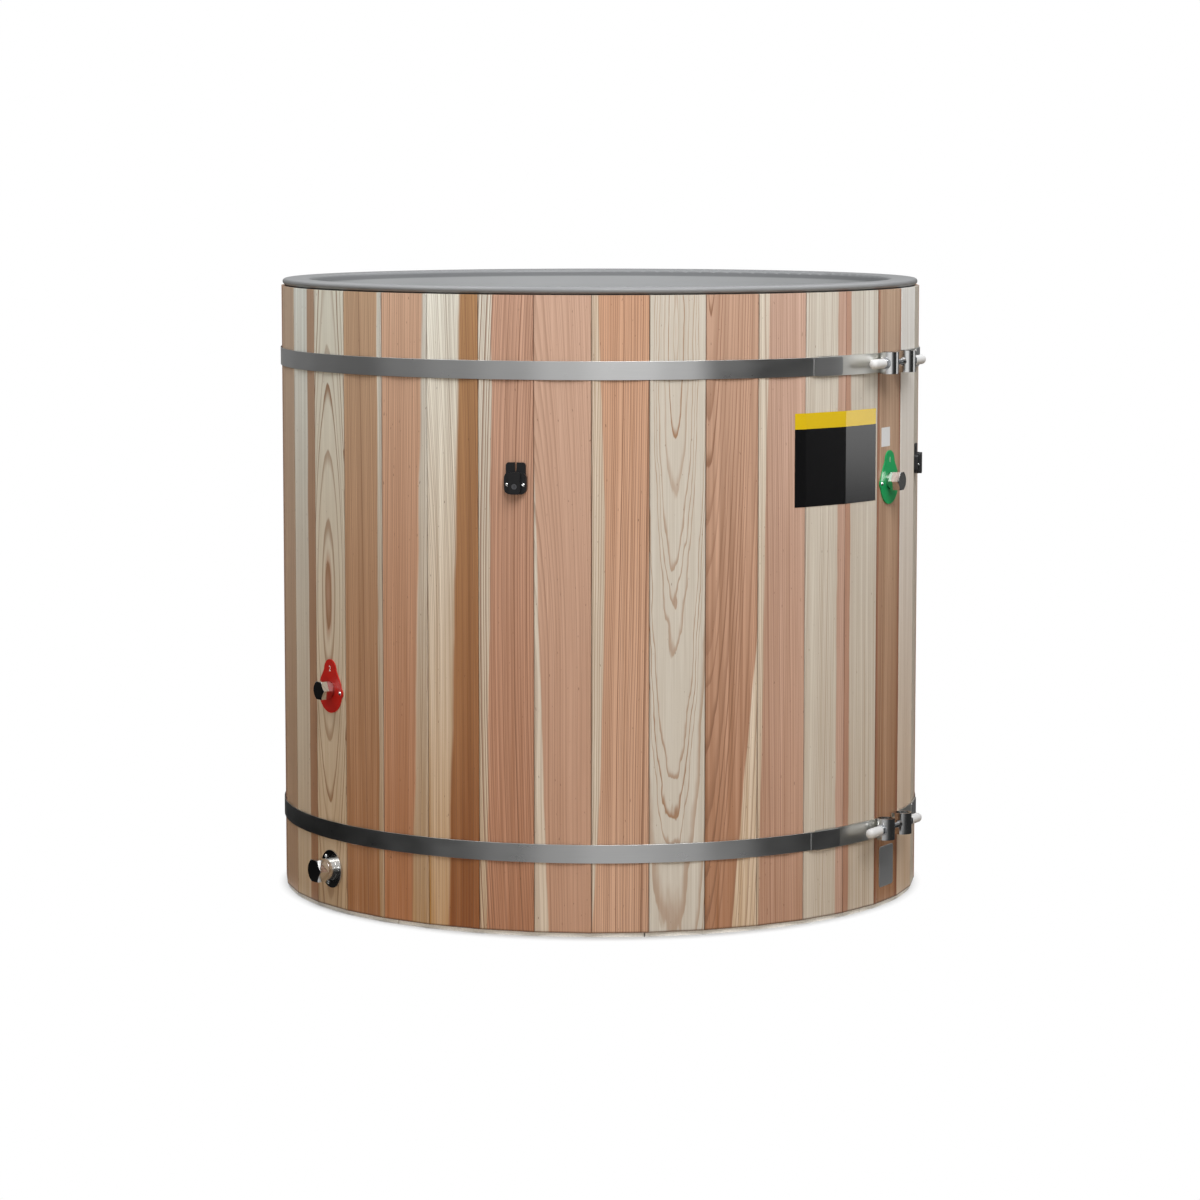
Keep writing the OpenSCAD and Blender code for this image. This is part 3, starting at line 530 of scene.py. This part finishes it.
def grain_group():
    """Cedar grain on a point in millimetres: x across the board, -y outwards, z up from its middle."""
    group = bpy.data.node_groups.new("cedar_grain", "ShaderNodeTree")
    for kind, way, names in (
        ("Vector", "INPUT", ("point", "pith", "depth", "left", "right")),
        ("Float", "INPUT", ("ring", "wander", "ripple", "line", "share", "edge", "core")),
        ("Float", "INPUT", ("streaks", "drift", "seed")),
        ("Color", "INPUT", ("heart", "sap", "lines")),
        ("Color", "OUTPUT", ("colour",)),
        ("Float", "OUTPUT", ("height",)),
    ):
        for name in names:
            group.interface.new_socket(name=name, in_out=way, socket_type="NodeSocket" + kind)
    given = group.nodes.new("NodeGroupInput").outputs
    result = group.nodes.new("NodeGroupOutput").inputs
    across, y, up = add(group, "SeparateXYZ", Vector=given["point"]).outputs
    climb = calc(group, "DIVIDE", up, half_length_mm)
    radius = pith_distance(group, given, across, calc(group, "ADD", y, face_mm), climb)
    line = late_lines(group, given, radius)
    heart = heartwood(group, given, across, climb, radius)
    fibre = board_noise(group, given, (1.7, 1.7, 180), roughness=0.6)
    colour = wood_tone(group, given, heart, fibre, climb)
    colour = blend(group, calc(group, "MULTIPLY", line, given["line"]), colour, given["lines"])

    # Dark flecks of resin, and the shadow in the joint between two boards and at their foot
    fleck = board_noise(group, given, (2.2, 2.2, 8), detail=0.0, step=17.0)
    fleck = calc(group, "MULTIPLY", smooth_step(group, fleck, fleck_start, fleck_full), fleck_strength)
    ragged = board_noise(group, given, (200, 200, 45), step=23.0)
    outer = calc(group, "ABSOLUTE", across)
    joint = smooth_step(group, outer, half_width_mm - joint_shadow_mm, half_width_mm)
    joint = calc(group, "MULTIPLY", joint, calc(group, "MULTIPLY_ADD", ragged, 0.9, 0.1))
    foot = smooth_step(group, up, foot_shadow_mm - half_length_mm, -half_length_mm)
    shadow = calc(group, "MAXIMUM", joint, calc(group, "MULTIPLY", foot, foot_shadow_strength))
    colour = blend(group, shadow, blend(group, fleck, colour, resin_tone), shadow_tone)
    height = calc(group, "MULTIPLY_ADD", line, 0.6, calc(group, "MULTIPLY", fibre, 0.5))
    eased = smooth_step(group, outer, half_width_mm - eased_edge_mm, half_width_mm)
    height = calc(group, "MULTIPLY_ADD", eased, -eased_edge_times, height)
    group.links.new(colour, result["colour"])
    group.links.new(height, result["height"])
    return group


cedar = grain_group()


def cedar_board(tree, point, **values):
    """The grain under a clear finish, on a point in the board's own millimetres."""
    grain = add(tree, "Group", [("node_tree", cedar)], point=point, **values)
    shine = noise(tree, point, (6, 6, 90))
    principled(tree, Base_Color=grain.outputs["colour"], Specular_IOR_Level=0.35,
               Roughness=calc(tree, "MULTIPLY_ADD", shine, 0.14, 0.44),
               Normal=bump(tree, grain.outputs["height"], grain_relief))


to_mm = (1000, 1000, 1000)
front_first = -8
cream = (0.56, 0.475, 0.375, 1)
pale = (0.52, 0.47, 0.395, 1)
orange_line = (0.27, 0.135, 0.062, 1)
brown_line = (0.20, 0.092, 0.048, 1)
far_left = (-99, 0, 0)
far_right = (99, 0, 0)
no_heart = {"left": far_right, "right": (199, 0, 0), "lines": orange_line}
usual_board = {
    "left": far_left, "right": far_right, "wander": 1.2, "ripple": 0.25, "share": 0.6, "edge": 1.5,
    "core": 0.0, "heart": (0.5, 0.3, 0.2, 1), "sap": cream, "lines": brown_line, "streaks": 0.25,
    "drift": 0.0,
}

# For each board from the left, what differs from the usual board: where the pith lies across and
# behind the face, the ring width, how the rings wander and ripple, how strong their late lines are
# and what share of a ring they take, where the heartwood starts and ends and how soft its edge is,
# the heartwood's radius round the pith, the colours, the streaks, and the painted light by which the
# tone drifts from foot to top. Three numbers are a value at mid height, its lean and its bow. Sizes
# are in millimetres.
boards = [
    {"pith": (220, 10, 0), "depth": (90, 0, 0), "ring": 3.6, "line": 0.6,
     "heart": (0.52, 0.365, 0.25, 1), "streaks": 0.5, "drift": 0.15},
    {"pith": (-200, 12, 0), "depth": (80, 0, 0), "ring": 4.0, "line": 0.3, "left": (15, 0, 0),
     "heart": (0.39, 0.23, 0.14, 1), "sap": (0.64, 0.58, 0.485, 1), "streaks": 0.4, "drift": 0.32},
    {"pith": (-5, 2, 0), "depth": (52, -1, 74), "ring": 4.6, "wander": 1.6, "ripple": 0.7,
     "line": 0.95, "share": 0.42, "core": 53.4, "heart": (0.44, 0.27, 0.18, 1),
     "sap": (0.61, 0.52, 0.4, 1), "drift": 0.34, **no_heart},
    {"pith": (240, -8, 0), "depth": (100, 0, 0), "ring": 3.4, "line": 0.6, "right": (36, 0, 0),
     "heart": (0.455, 0.262, 0.148, 1), "streaks": 0.9, "drift": 0.42},
    {"pith": (-230, 10, 0), "depth": (100, 0, 0), "ring": 3.5, "line": 0.55, "right": (26, 13, 0),
     "edge": 3.0, "heart": (0.52, 0.286, 0.174, 1), "streaks": 0.5, "drift": 0.42},
    {"pith": (-105, 0, 0), "depth": (80, 8, 34), "ring": 2.3, "line": 0.62, "left": (2, 12, 0),
     "edge": 3.5, "heart": (0.34, 0.158, 0.063, 1), "sap": (0.63, 0.525, 0.405, 1), "streaks": 1.0,
     "drift": 0.44},
    {"pith": (260, 0, 14), "depth": (100, 0, 0), "ring": 3.8, "wander": 2.4, "line": 0.95,
     "left": (-28, 6, 0), "heart": (0.46, 0.248, 0.16, 1), "streaks": 0.8, "drift": 0.26},
    {"pith": (-60, 0, 0), "depth": (90, 10, 20), "ring": 2.3, "wander": 2.2, "line": 0.46,
     "left": (-38.6, -14.8, 0), "heart": (0.49, 0.3, 0.21, 1), "sap": (0.6, 0.53, 0.44, 1),
     "drift": 0.12},
    {"pith": (250, 6, 0), "depth": (110, 0, 0), "ring": 3.3, "wander": 5.0, "ripple": 0.6, "line": 1.0,
     "left": (-25.5, 4.9, -16), "heart": (0.52, 0.308, 0.2, 1), "streaks": 0.7, "drift": -0.06},
    {"pith": (-7, 4, 0), "depth": (33, -34, -8), "ring": 6.8, "wander": 5.0, "ripple": 3.6,
     "line": 1.0, "share": 0.3, "sap": (0.5, 0.455, 0.39, 1), **no_heart},
    {"pith": (-46, 8, 0), "depth": (36, -30, 0), "ring": 5.6, "wander": 3.5, "ripple": 1.4,
     "line": 0.85, "share": 0.4, "right": (48, 45, 0), "heart": (0.39, 0.222, 0.143, 1),
     "streaks": 1.3, "drift": 0.26},
    {"pith": (-230, -8, 0), "depth": (110, 0, 0), "ring": 3.4, "wander": 3.5, "line": 0.62,
     "left": (-35, 9, 0), "heart": (0.46, 0.29, 0.213, 1), "streaks": 0.6, "drift": 0.16},
    {"pith": (-240, 8, 0), "depth": (90, 0, 0), "ring": 3.6, "line": 0.5, "left": (28, 0, 0),
     "heart": (0.45, 0.29, 0.22, 1), "sap": pale, "streaks": 0.5, "drift": 0.06},
    {"pith": (230, -6, 0), "depth": (100, 0, 0), "ring": 3.6, "line": 0.5, "right": (-32, 0, 0),
     "heart": (0.4, 0.225, 0.155, 1), "sap": pale, "streaks": 0.5, "drift": 0.12},
    {"pith": (210, 5, 0), "depth": (100, 0, 0), "ring": 4.2, "line": 0.7, "left": (-38, 0, 0),
     "right": (38, 2, 0), "edge": 3.0, "heart": (0.395, 0.248, 0.158, 1),
     "sap": (0.29, 0.135, 0.08, 1), "streaks": 1.2, "drift": 0.32},
    {"pith": (-230, 0, 0), "depth": (90, 0, 0), "ring": 3.8, "line": 0.35, "sap": (0.64, 0.57, 0.5, 1),
     "streaks": 0.4, "drift": 0.3, **no_heart},
]
for number, board in enumerate(boards, 1):
    name = f"stave_{number:02d}"
    tree = new_material("cedar_" + name)
    bearing = board_bearing(front_first + number - 1)
    mapping = add(tree, "Mapping", Scale=to_mm, Rotation=(0, 0, -math.radians(bearing)),
                  Location=(0, 0, -middle_mm), Vector=object_point(tree))
    cedar_board(tree, mapping.outputs[0], seed=number * 1.7, **{**usual_board, **board})
    paint("cedar_" + name, nodes[name])


# The boards out of the camera's sight share one material, which works out each board from its
# bearing and draws its own grain and colour by chance.
def boards_along(tree, bearing):
    """How many boards lie between the first joint and a bearing in radians."""
    from_joint = calc(tree, "SUBTRACT", bearing, math.radians(first_joint))
    return calc(tree, "DIVIDE", from_joint, math.radians(pitch))


tree = new_material("cedar_rear_staves")
point = object_point(tree)
board_number = calc(tree, "FLOOR", boards_along(tree, bearing_of(tree, point)))
bearing = calc(tree, "MULTIPLY_ADD", calc(tree, "ADD", board_number, 0.5), math.radians(pitch),
               math.radians(first_joint))
turned = add(tree, "CombineXYZ", Z=calc(tree, "MULTIPLY", bearing, -1.0)).outputs[0]
mapping = add(tree, "Mapping", Scale=to_mm, Rotation=turned, Location=(0, 0, -middle_mm), Vector=point)


def chance(seed, low, high):
    """A number between two limits that is the same all over a board."""
    drawn = add(tree, "TexWhiteNoise", [("noise_dimensions", "1D")],
                W=calc(tree, "ADD", board_number, seed))
    return calc(tree, "MULTIPLY_ADD", drawn.outputs[0], high - low, low)


def of_values(middle, lean, bow):
    """A value at mid height with its lean and its bow."""
    return add(tree, "CombineXYZ", X=middle, Y=lean, Z=bow).outputs[0]


flat_sawn = calc(tree, "GREATER_THAN", chance(3.1, 0, 1), 0.7)
straight_pith = chance(4.2, 160, 280)
pith_shift = calc(tree, "SUBTRACT", chance(5.3, -25, 25), straight_pith)
pith = calc(tree, "MULTIPLY_ADD", flat_sawn, pith_shift, straight_pith)
cedar_board(
    tree, mapping.outputs[0],
    heart=blend(tree, chance(11.4, 0, 1), (0.35, 0.19, 0.11, 1), (0.50, 0.295, 0.20, 1)),
    sap=pale, lines=brown_line,
    pith=of_values(pith, chance(6.1, -14, 14), 0.0),
    depth=of_values(chance(7.9, 50, 110), chance(8.2, -26, 26), chance(2.6, -12, 12)),
    left=of_values(chance(9.4, -170, 60), chance(1.7, -12, 12), 0.0), right=far_right,
    ring=chance(12.8, 3.4, 4.6), wander=2.0, ripple=0.5, line=0.60, share=0.5, edge=1.5,
    streaks=0.4, drift=0.08, seed=calc(tree, "MULTIPLY", board_number, 2.3),
)
paint("cedar_rear_staves", nodes["rear_staves"])


# Hoops
# Two bands of stainless strip, brushed along their length and drawn tight round the corners of
# the boards, so that each board leaves a flat in the band. Near its ends a band is pressed
# outwards to lie over the straps, and the slope of that bend is drawn in a darker steel as painted
# shade, so that it shows no bright reflection.
def shaded(tree, amount, tone, darkest):
    """Runs from a darker share of a tone up to the whole tone."""
    return blend(tree, amount, (*[darkest * part for part in tone], 1), (*tone, 1))


def brushed_steel(name, tone, rough_low, rough_span, flat_mm):
    """Steel brushed round the barrel, which lies flat on each board by a depth in millimetres."""
    tree = new_material(name)
    point = object_point(tree)
    turn = bearing_of(tree, point)
    height = add(tree, "SeparateXYZ", Vector=point).outputs[2]
    round_it = add(tree, "CombineXYZ", X=calc(tree, "MULTIPLY", turn, barrel_r_mm / 1000), Z=height)
    brush = noise(tree, round_it.outputs[0], (0.09, 1, 0.0007), detail=3.0, roughness=0.7)
    smear = noise(tree, round_it.outputs[0], (0.05, 1, 0.02), detail=3.0, seed=4.0)
    relief = calc(tree, "MULTIPLY", brush, brush_mm)
    if flat_mm:
        part = calc(tree, "FRACT", boards_along(tree, turn))
        sunk = calc(tree, "SINE", calc(tree, "MULTIPLY", part, math.pi))
        relief = calc(tree, "MULTIPLY_ADD", calc(tree, "MULTIPLY", sunk, sunk), -flat_mm, relief)
    principled(tree, Base_Color=shaded(tree, brush, tone, 0.86), Metallic=1.0,
               Roughness=calc(tree, "MULTIPLY_ADD", smear, rough_span, rough_low),
               Normal=bump(tree, relief, 0.001))


brush_mm = 0.02
hoop_flat_mm = 0.75
brushed_steel("hoop_strip", (0.64, 0.64, 0.635), 0.22, 0.16, hoop_flat_mm)
# Painted shade: a darker steel for the bends, where the band would otherwise show a bright reflection.
brushed_steel("painted_shade_bend_steel", (0.17, 0.17, 0.168), 0.34, 0.16, hoop_flat_mm)
least_bend = math.radians(12)
most_bend = math.radians(75)
upright_limit = 0.5
for row in ("upper", "lower"):
    band = dressed_copy(row + "_hoop", row + "_hoop_band", 0.0003, "hoop_strip",
                        hard_angle=60)
    band.data.materials.append(bpy.data.materials["painted_shade_bend_steel"])
    for face in band.data.polygons:
        upright = abs(face.normal.z) < upright_limit
        if upright and least_bend < face.normal.xy.angle(face.center.xy) < most_bend:
            face.material_index = 1


# Hoop clamps
# At the right of the barrel each band ends in two straps, and each strap carries a short stainless
# tube welded on end. A rod passes through both tubes, with a washer, a nut and a white soft cap.
def polished(name, tone, rough_low, rough_span, patch=0.012):
    """Polished metal with faint smears."""
    tree = new_material(name)
    point = object_point(tree)
    smear = noise(tree, point, patch, detail=4.0, roughness=0.6)
    wave = noise(tree, point, 0.006, detail=1.0, seed=2.0)
    principled(tree, Base_Color=shaded(tree, smear, tone, 0.93), Metallic=1.0,
               Roughness=calc(tree, "MULTIPLY_ADD", smear, rough_span, rough_low),
               Normal=bump(tree, wave, 0.00004))


def soft_plastic(name, tone, rough, depth):
    """Moulded plastic with a fine grain."""
    tree = new_material(name)
    point = object_point(tree)
    grain = noise(tree, point, 0.0015, detail=3.0)
    cloud = noise(tree, point, 0.02, seed=6.0)
    principled(tree, Base_Color=shaded(tree, cloud, tone, 0.9), Specular_IOR_Level=0.3,
               Roughness=calc(tree, "MULTIPLY_ADD", cloud, 0.12, rough - 0.06),
               Normal=bump(tree, grain, depth))


polished("lug_steel", (0.66, 0.66, 0.655), 0.10, 0.12)
polished("zinc_plate", (0.62, 0.63, 0.645), 0.14, 0.14, 0.006)
soft_plastic("white_vinyl", (0.60, 0.60, 0.60), 0.38, 0.00003)
polished("strap_steel", (0.82, 0.81, 0.76), 0.30, 0.10, 0.02)
strap_reach = 0.5535
for row in ("upper", "lower"):
    lugs = dressed_copy(row + "_hoop_lugs", row + "_lugs_on_straps", 0.0005, "lug_steel")
    lugs.data.materials.append(bpy.data.materials["strap_steel"])
    for face in lugs.data.polygons:
        if face.center.xy.length < strap_reach:
            face.material_index = 1
    for side in ("left", "right"):
        hand = f"{row}_{side}_"
        dressed_copy(hand + "nut", hand + "hex_nut", 0.0003, "zinc_plate")
        dressed_copy(hand + "end_cap", hand + "vinyl_cap", 0.0004, "white_vinyl")
dressed_copy("tension_washers", "flat_washers", 0.0003, "zinc_plate")

# Each rod is smooth between the lugs and has a rolled thread at both ends, whose crests are a
# little flat.
rod_r = 0.005
rod_half = 0.096
rod_sides = 32
shank_edge = 0.0006
thread_start = 0.044
thread_pitch = 0.0015
thread_depth = 0.0009
thread_steps = 20
crest_start = 0.44
crest_end = 0.56
weld_reach = 0.000001


def thread_end():
    """A threaded rod end along z, from the start of the thread to the rod's end, cut square."""
    bpy.ops.object.select_all(action="DESELECT")
    bpy.ops.mesh.primitive_plane_add(size=thread_pitch)
    end = bpy.context.object
    root_r = rod_r - thread_depth
    flank = ((root_r, 0), (rod_r, crest_start), (rod_r, crest_end), (root_r, 1))
    for vertex, (radius, share) in zip(end.data.vertices, flank):
        vertex.co = (radius, 0, (share - 1) * thread_pitch)
    bpy.ops.object.mode_set(mode="EDIT")
    bpy.ops.mesh.select_all(action="SELECT")
    bpy.ops.mesh.delete(type="EDGE_FACE")
    bpy.ops.object.mode_set(mode="OBJECT")
    end.data.edges.add(3)
    for edge, pair in zip(end.data.edges, ((0, 1), (1, 2), (2, 3))):
        edge.vertices = pair
    turns = math.ceil((rod_half - thread_start) / thread_pitch) + 2
    modify(end, "SCREW", screw_offset=thread_pitch, iterations=turns, steps=thread_steps,
           render_steps=thread_steps, use_merge_vertices=True, merge_threshold=weld_reach)
    end.data.transform(Matrix.Translation((0, 0, thread_start)))
    bpy.ops.object.mode_set(mode="EDIT")
    for height, clear_above in ((thread_start + thread_pitch, False), (rod_half, True)):
        bpy.ops.mesh.select_all(action="SELECT")
        bpy.ops.mesh.bisect(plane_co=(0, 0, height), plane_no=(0, 0, 1), use_fill=True,
                            clear_inner=not clear_above, clear_outer=clear_above)
    bpy.ops.mesh.select_all(action="SELECT")
    bpy.ops.mesh.normals_make_consistent(inside=False)
    bpy.ops.object.mode_set(mode="OBJECT")
    return end


def middle_of(node):
    """The middle of a CAD node's box."""
    low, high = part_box(node)
    return (Vector(low) + Vector(high)) / 2


def clamp_rod(row, material):
    """One rod, with its axis through the two nuts of its clamp."""
    upper_end = thread_end()
    lower_end = thread_end()
    lower_end.data.transform(Matrix.Rotation(math.pi, 4, "X"))
    bpy.ops.object.select_all(action="DESELECT")
    bpy.ops.mesh.primitive_cylinder_add(vertices=rod_sides, radius=rod_r,
                                        depth=2 * (thread_start + thread_pitch))
    rod = bpy.context.object
    rod.name = row + "_clamp_rod"
    modify(rod, "BEVEL", width=shank_edge, limit_method="ANGLE")
    upper_end.select_set(True)
    lower_end.select_set(True)
    bpy.ops.object.join()
    first, second = middle_of(row + "_left_nut"), middle_of(row + "_right_nut")
    turn = (second - first).to_track_quat("Z", "Y").to_matrix().to_4x4()
    rod.data.transform(Matrix.Translation((first + second) / 2) @ turn)
    bpy.ops.object.shade_smooth_by_angle(angle=math.radians(crease))
    paint(material, rod)
    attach(rod, nodes["tension_rods"]["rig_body"])
    return rod


for row in ("upper", "lower"):
    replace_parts(clamp_rod(row, "zinc_plate"), "tension_rods")


# Wall plates
# Pear-shaped plates of pressed sheet, painted red round the outlet and green round the inlet, with
# a white numeral in the lobe.
def painted(name, tone):
    """Glossy paint with a slight orange peel."""
    tree = new_material(name)
    point = object_point(tree)
    peel = noise(tree, point, 0.0025)
    cloud = noise(tree, point, 0.02, seed=3.0)
    principled(tree, Base_Color=shaded(tree, cloud, tone, 0.85), Specular_IOR_Level=0.3,
               Roughness=calc(tree, "MULTIPLY_ADD", cloud, 0.12, 0.33),
               Normal=bump(tree, peel, 0.00005))


def on_board(board, across, up, out=0.0):
    """The place on a board's face, with axes across it, up it and out of it."""
    bearing = math.radians(board_bearing(board))
    sideways = Vector((math.cos(bearing), math.sin(bearing), 0))
    outward = Vector((math.sin(bearing), -math.cos(bearing), 0))
    place = outward * (face_mm / 1000 + out) + sideways * across + Vector((0, 0, up))
    axes = Matrix((sideways, Vector((0, 0, 1)), outward)).transposed().to_4x4()
    return Matrix.Translation(place) @ axes


painted("red_enamel", (0.52, 0.010, 0.004))
painted("green_enamel", (0.004, 0.30, 0.085))
dressed_copy("outlet_plate", "outlet_pear_plate", 0.0005, "red_enamel")
dressed_copy("inlet_plate", "inlet_pear_plate", 0.0005, "green_enamel")
painted("white_ink", (0.80, 0.78, 0.77))
outlet_board = -6
inlet_board = 6
plate_t = 0.002
lobe_rise = 0.035
numeral_size = 0.013
ink_t = 0.00005
for digit, board, port in (("2", outlet_board, "outlet"), ("1", inlet_board, "inlet")):
    bpy.ops.object.select_all(action="DESELECT")
    bpy.ops.object.text_add()
    writing = bpy.context.object
    writing.data.body = digit
    writing.data.size = numeral_size
    writing.data.align_x = "CENTER"
    writing.data.align_y = "CENTER"
    writing.data.extrude = ink_t
    bpy.ops.object.convert(target="MESH")
    writing = bpy.context.object
    writing.name = port + "_numeral"
    writing.data.transform(on_board(board, 0, middle_of(port + "_cap").z + lobe_rise, plate_t))
    paint("white_ink", writing)
    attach(writing, "tub")

# Drain plate, fittings and caps
# Turned and plated brass: a round flange with a sleeve at the drain, a threaded tube through the
# wall at each connection, and hexagonal caps screwed on the tubes.
polished("bright_plate", (0.72, 0.715, 0.70), 0.05, 0.09)
polished("satin_plate", (0.68, 0.67, 0.65), 0.13, 0.05, 0.05)
dressed_copy("drain_plate", "drain_flange", 0.0006, "satin_plate")
for port in ("outlet", "inlet", "drain"):
    dressed_copy(port + "_fitting", port + "_threaded_tube", 0.0004, "bright_plate")
    dressed_copy(port + "_cap", port + "_hex_cap", 0.0005, "bright_plate")
    paint("seal_rubber", nodes[port + "_seal"])
paint("seal_rubber", nodes["flange_gaskets"])
paint("zinc_plate", nodes["locknuts"])
soft_plastic("grey_plastic", (0.62, 0.63, 0.63), 0.35, 0.00003)
paint("grey_plastic", nodes["suction_strainer"])
paint("grey_plastic", nodes["return_nozzle"])
paint("bright_plate", nodes["drain_grate"])

# Cover clips and locks
# Black moulded receivers for the cover's straps, screwed to the boards below the rim, each with a
# small steel lock cylinder in its face.
soft_plastic("black_moulding", (0.012, 0.012, 0.013), 0.32, 0.00003)
polished("lock_steel", (0.20, 0.20, 0.21), 0.22, 0.12)
dressed_copy("cover_clips", "strap_receivers", 0.0008, "black_moulding", segments=3)
for place in ("front", "right", "back", "left"):
    dressed_copy(place + "_lock", place + "_lock_cylinder", 0.0003, "lock_steel")

# Screws
# Small domed screws with a cross recess, plated. They hold the plates, the drain's flange and the
# clips. Each recess is cut with two crossed bars.
polished("screw_plate", (0.70, 0.70, 0.69), 0.12, 0.10, 0.003)
screws = dressed_copy("wall_screws", "cross_head_screws", 0.0, "screw_plate")
recess_long = 0.0030
recess_wide = 0.0007
recess_deep = 0.0009
recess_turn = math.pi / 5


def loose_parts(piece):
    """The places of the corners of each loose part of a piece."""
    home = list(range(len(piece.data.vertices)))

    def root(index):
        while home[index] != index:
            home[index] = home[home[index]]
            index = home[index]
        return index

    for edge in piece.data.edges:
        home[root(edge.vertices[0])] = root(edge.vertices[1])
    parts = {}
    for vertex in piece.data.vertices:
        parts.setdefault(root(vertex.index), []).append(vertex.co.copy())
    return list(parts.values())


def screw_top(corners):
    """The top of a screw's head, with axes across the board, up it and out of it."""
    middle = sum(corners, Vector()) / len(corners)
    bearing = math.degrees(math.atan2(middle.x, -middle.y))
    board_axes = on_board(math.floor((bearing - first_joint) / pitch), 0, 0)
    local = [board_axes.inverted() @ corner for corner in corners]
    top = max(point.z for point in local)
    across = (max(point.x for point in local) + min(point.x for point in local)) / 2
    up = (max(point.y for point in local) + min(point.y for point in local)) / 2
    return board_axes @ Matrix.Translation((across, up, top))


bars = []
for corners in loose_parts(screws):
    for spin in (0, math.pi / 2):
        bpy.ops.object.select_all(action="DESELECT")
        bpy.ops.mesh.primitive_cube_add(size=1)
        bar = bpy.context.object
        bar.data.transform(Matrix.Diagonal((recess_long, recess_wide, 2 * recess_deep, 1)))
        bar.data.transform(screw_top(corners) @ Matrix.Rotation(spin + recess_turn, 4, "Z"))
        bars.append(bar)
pick(bars[0])
for bar in bars:
    bar.select_set(True)
bpy.ops.object.join()
cutter = bpy.context.object
pick(screws)
modify(screws, "BOOLEAN", operation="DIFFERENCE", solver="EXACT", use_self=True, object=cutter)
bpy.data.objects.remove(cutter)
bpy.ops.object.shade_smooth_by_angle(angle=math.radians(crease))


# Panel, sticker and plaque
# A blank vinyl panel in two colours, pressed over three boards so that it creases at their joints,
# a small blank paper sticker, and a thin stainless plaque glued on near the foot.
def vinyl(name, tone, rough):
    """Glossy printed vinyl, with the wood's grain pressing through a little."""
    tree = new_material(name)
    point = object_point(tree)
    speck = noise(tree, point, 0.003, detail=4.0)
    fibre = noise(tree, point, (0.002, 0.002, 0.05), seed=5.0)
    principled(tree, Base_Color=shaded(tree, speck, tone, 0.88), IOR=1.7, Specular_IOR_Level=0.9,
               Roughness=calc(tree, "MULTIPLY_ADD", speck, 0.10, rough),
               Normal=bump(tree, fibre, 0.00006))


vinyl("dark_vinyl", (0.0025, 0.0025, 0.0030), 0.12)
vinyl("yellow_vinyl", (0.68, 0.47, 0.003), 0.13)
vinyl("sticker_paper", (0.66, 0.67, 0.68), 0.45)
brushed_steel("plaque_steel", (0.66, 0.66, 0.655), 0.46, 0.12, 0)
half_board = half_width_mm / 1000
panel_t = 0.0003
panel_foot = 0.690
panel_head = 0.817
panel_top = 0.843
panel_board = 3
on_first_board = 0.0218
on_last_board = 0.0872
panel_rows = [panel_foot, panel_head, panel_top]
panel_columns = [
    (panel_board, half_board - on_first_board), (panel_board, half_board),
    (panel_board + 1, half_board), (panel_board + 2, on_last_board - half_board),
]
bpy.ops.object.select_all(action="DESELECT")
bpy.ops.mesh.primitive_grid_add(x_subdivisions=len(panel_columns) - 1, y_subdivisions=len(panel_rows) - 1,
                                size=2)
panel = bpy.context.object
panel.name = "vinyl_panel"
for vertex in panel.data.vertices:
    column = round((vertex.co.x + 1) / 2 * (len(panel_columns) - 1))
    row = round((vertex.co.y + 1) / 2 * (len(panel_rows) - 1))
    board, across = panel_columns[column]
    vertex.co = on_board(board, across, panel_rows[row], panel_t / 2).translation
paint("dark_vinyl", panel)
panel.data.materials.append(bpy.data.materials["yellow_vinyl"])
for face in panel.data.polygons:
    face.material_index = 1 if face.center.z > panel_head else 0
modify(panel, "SOLIDIFY", thickness=panel_t, offset=1)
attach(panel, "tub")


def flat_plate(name, material, across, up, wide, high, thick, corner):
    """A flat plate with round corners, on the face of the inlet's board."""
    bpy.ops.object.select_all(action="DESELECT")
    bpy.ops.mesh.primitive_plane_add(size=1)
    piece = bpy.context.object
    piece.name = name
    piece.data.transform(Matrix.Diagonal((wide, high, 1, 1)))
    bpy.ops.object.mode_set(mode="EDIT")
    bpy.ops.mesh.select_all(action="SELECT")
    bpy.ops.mesh.bevel(offset=corner, segments=6, affect="VERTICES")
    bpy.ops.mesh.select_all(action="SELECT")
    bpy.ops.mesh.extrude_region_move(TRANSFORM_OT_translate={"value": (0, 0, thick)})
    bpy.ops.mesh.inset(thickness=thick)
    bpy.ops.transform.translate(value=(0, 0, thick / 3))
    bpy.ops.mesh.select_all(action="SELECT")
    bpy.ops.mesh.normals_make_consistent(inside=False)
    bpy.ops.object.mode_set(mode="OBJECT")
    piece.data.transform(on_board(inlet_board, across, up))
    paint(material, piece)
    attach(piece, "tub")


flat_plate("blank_sticker", "sticker_paper", across=-0.014, up=0.793,
           wide=0.034, high=0.032, thick=0.0002, corner=0.001)
flat_plate("blank_plaque", "plaque_steel", across=0, up=0.067,
           wide=0.056, high=0.069, thick=0.0008, corner=0.006)
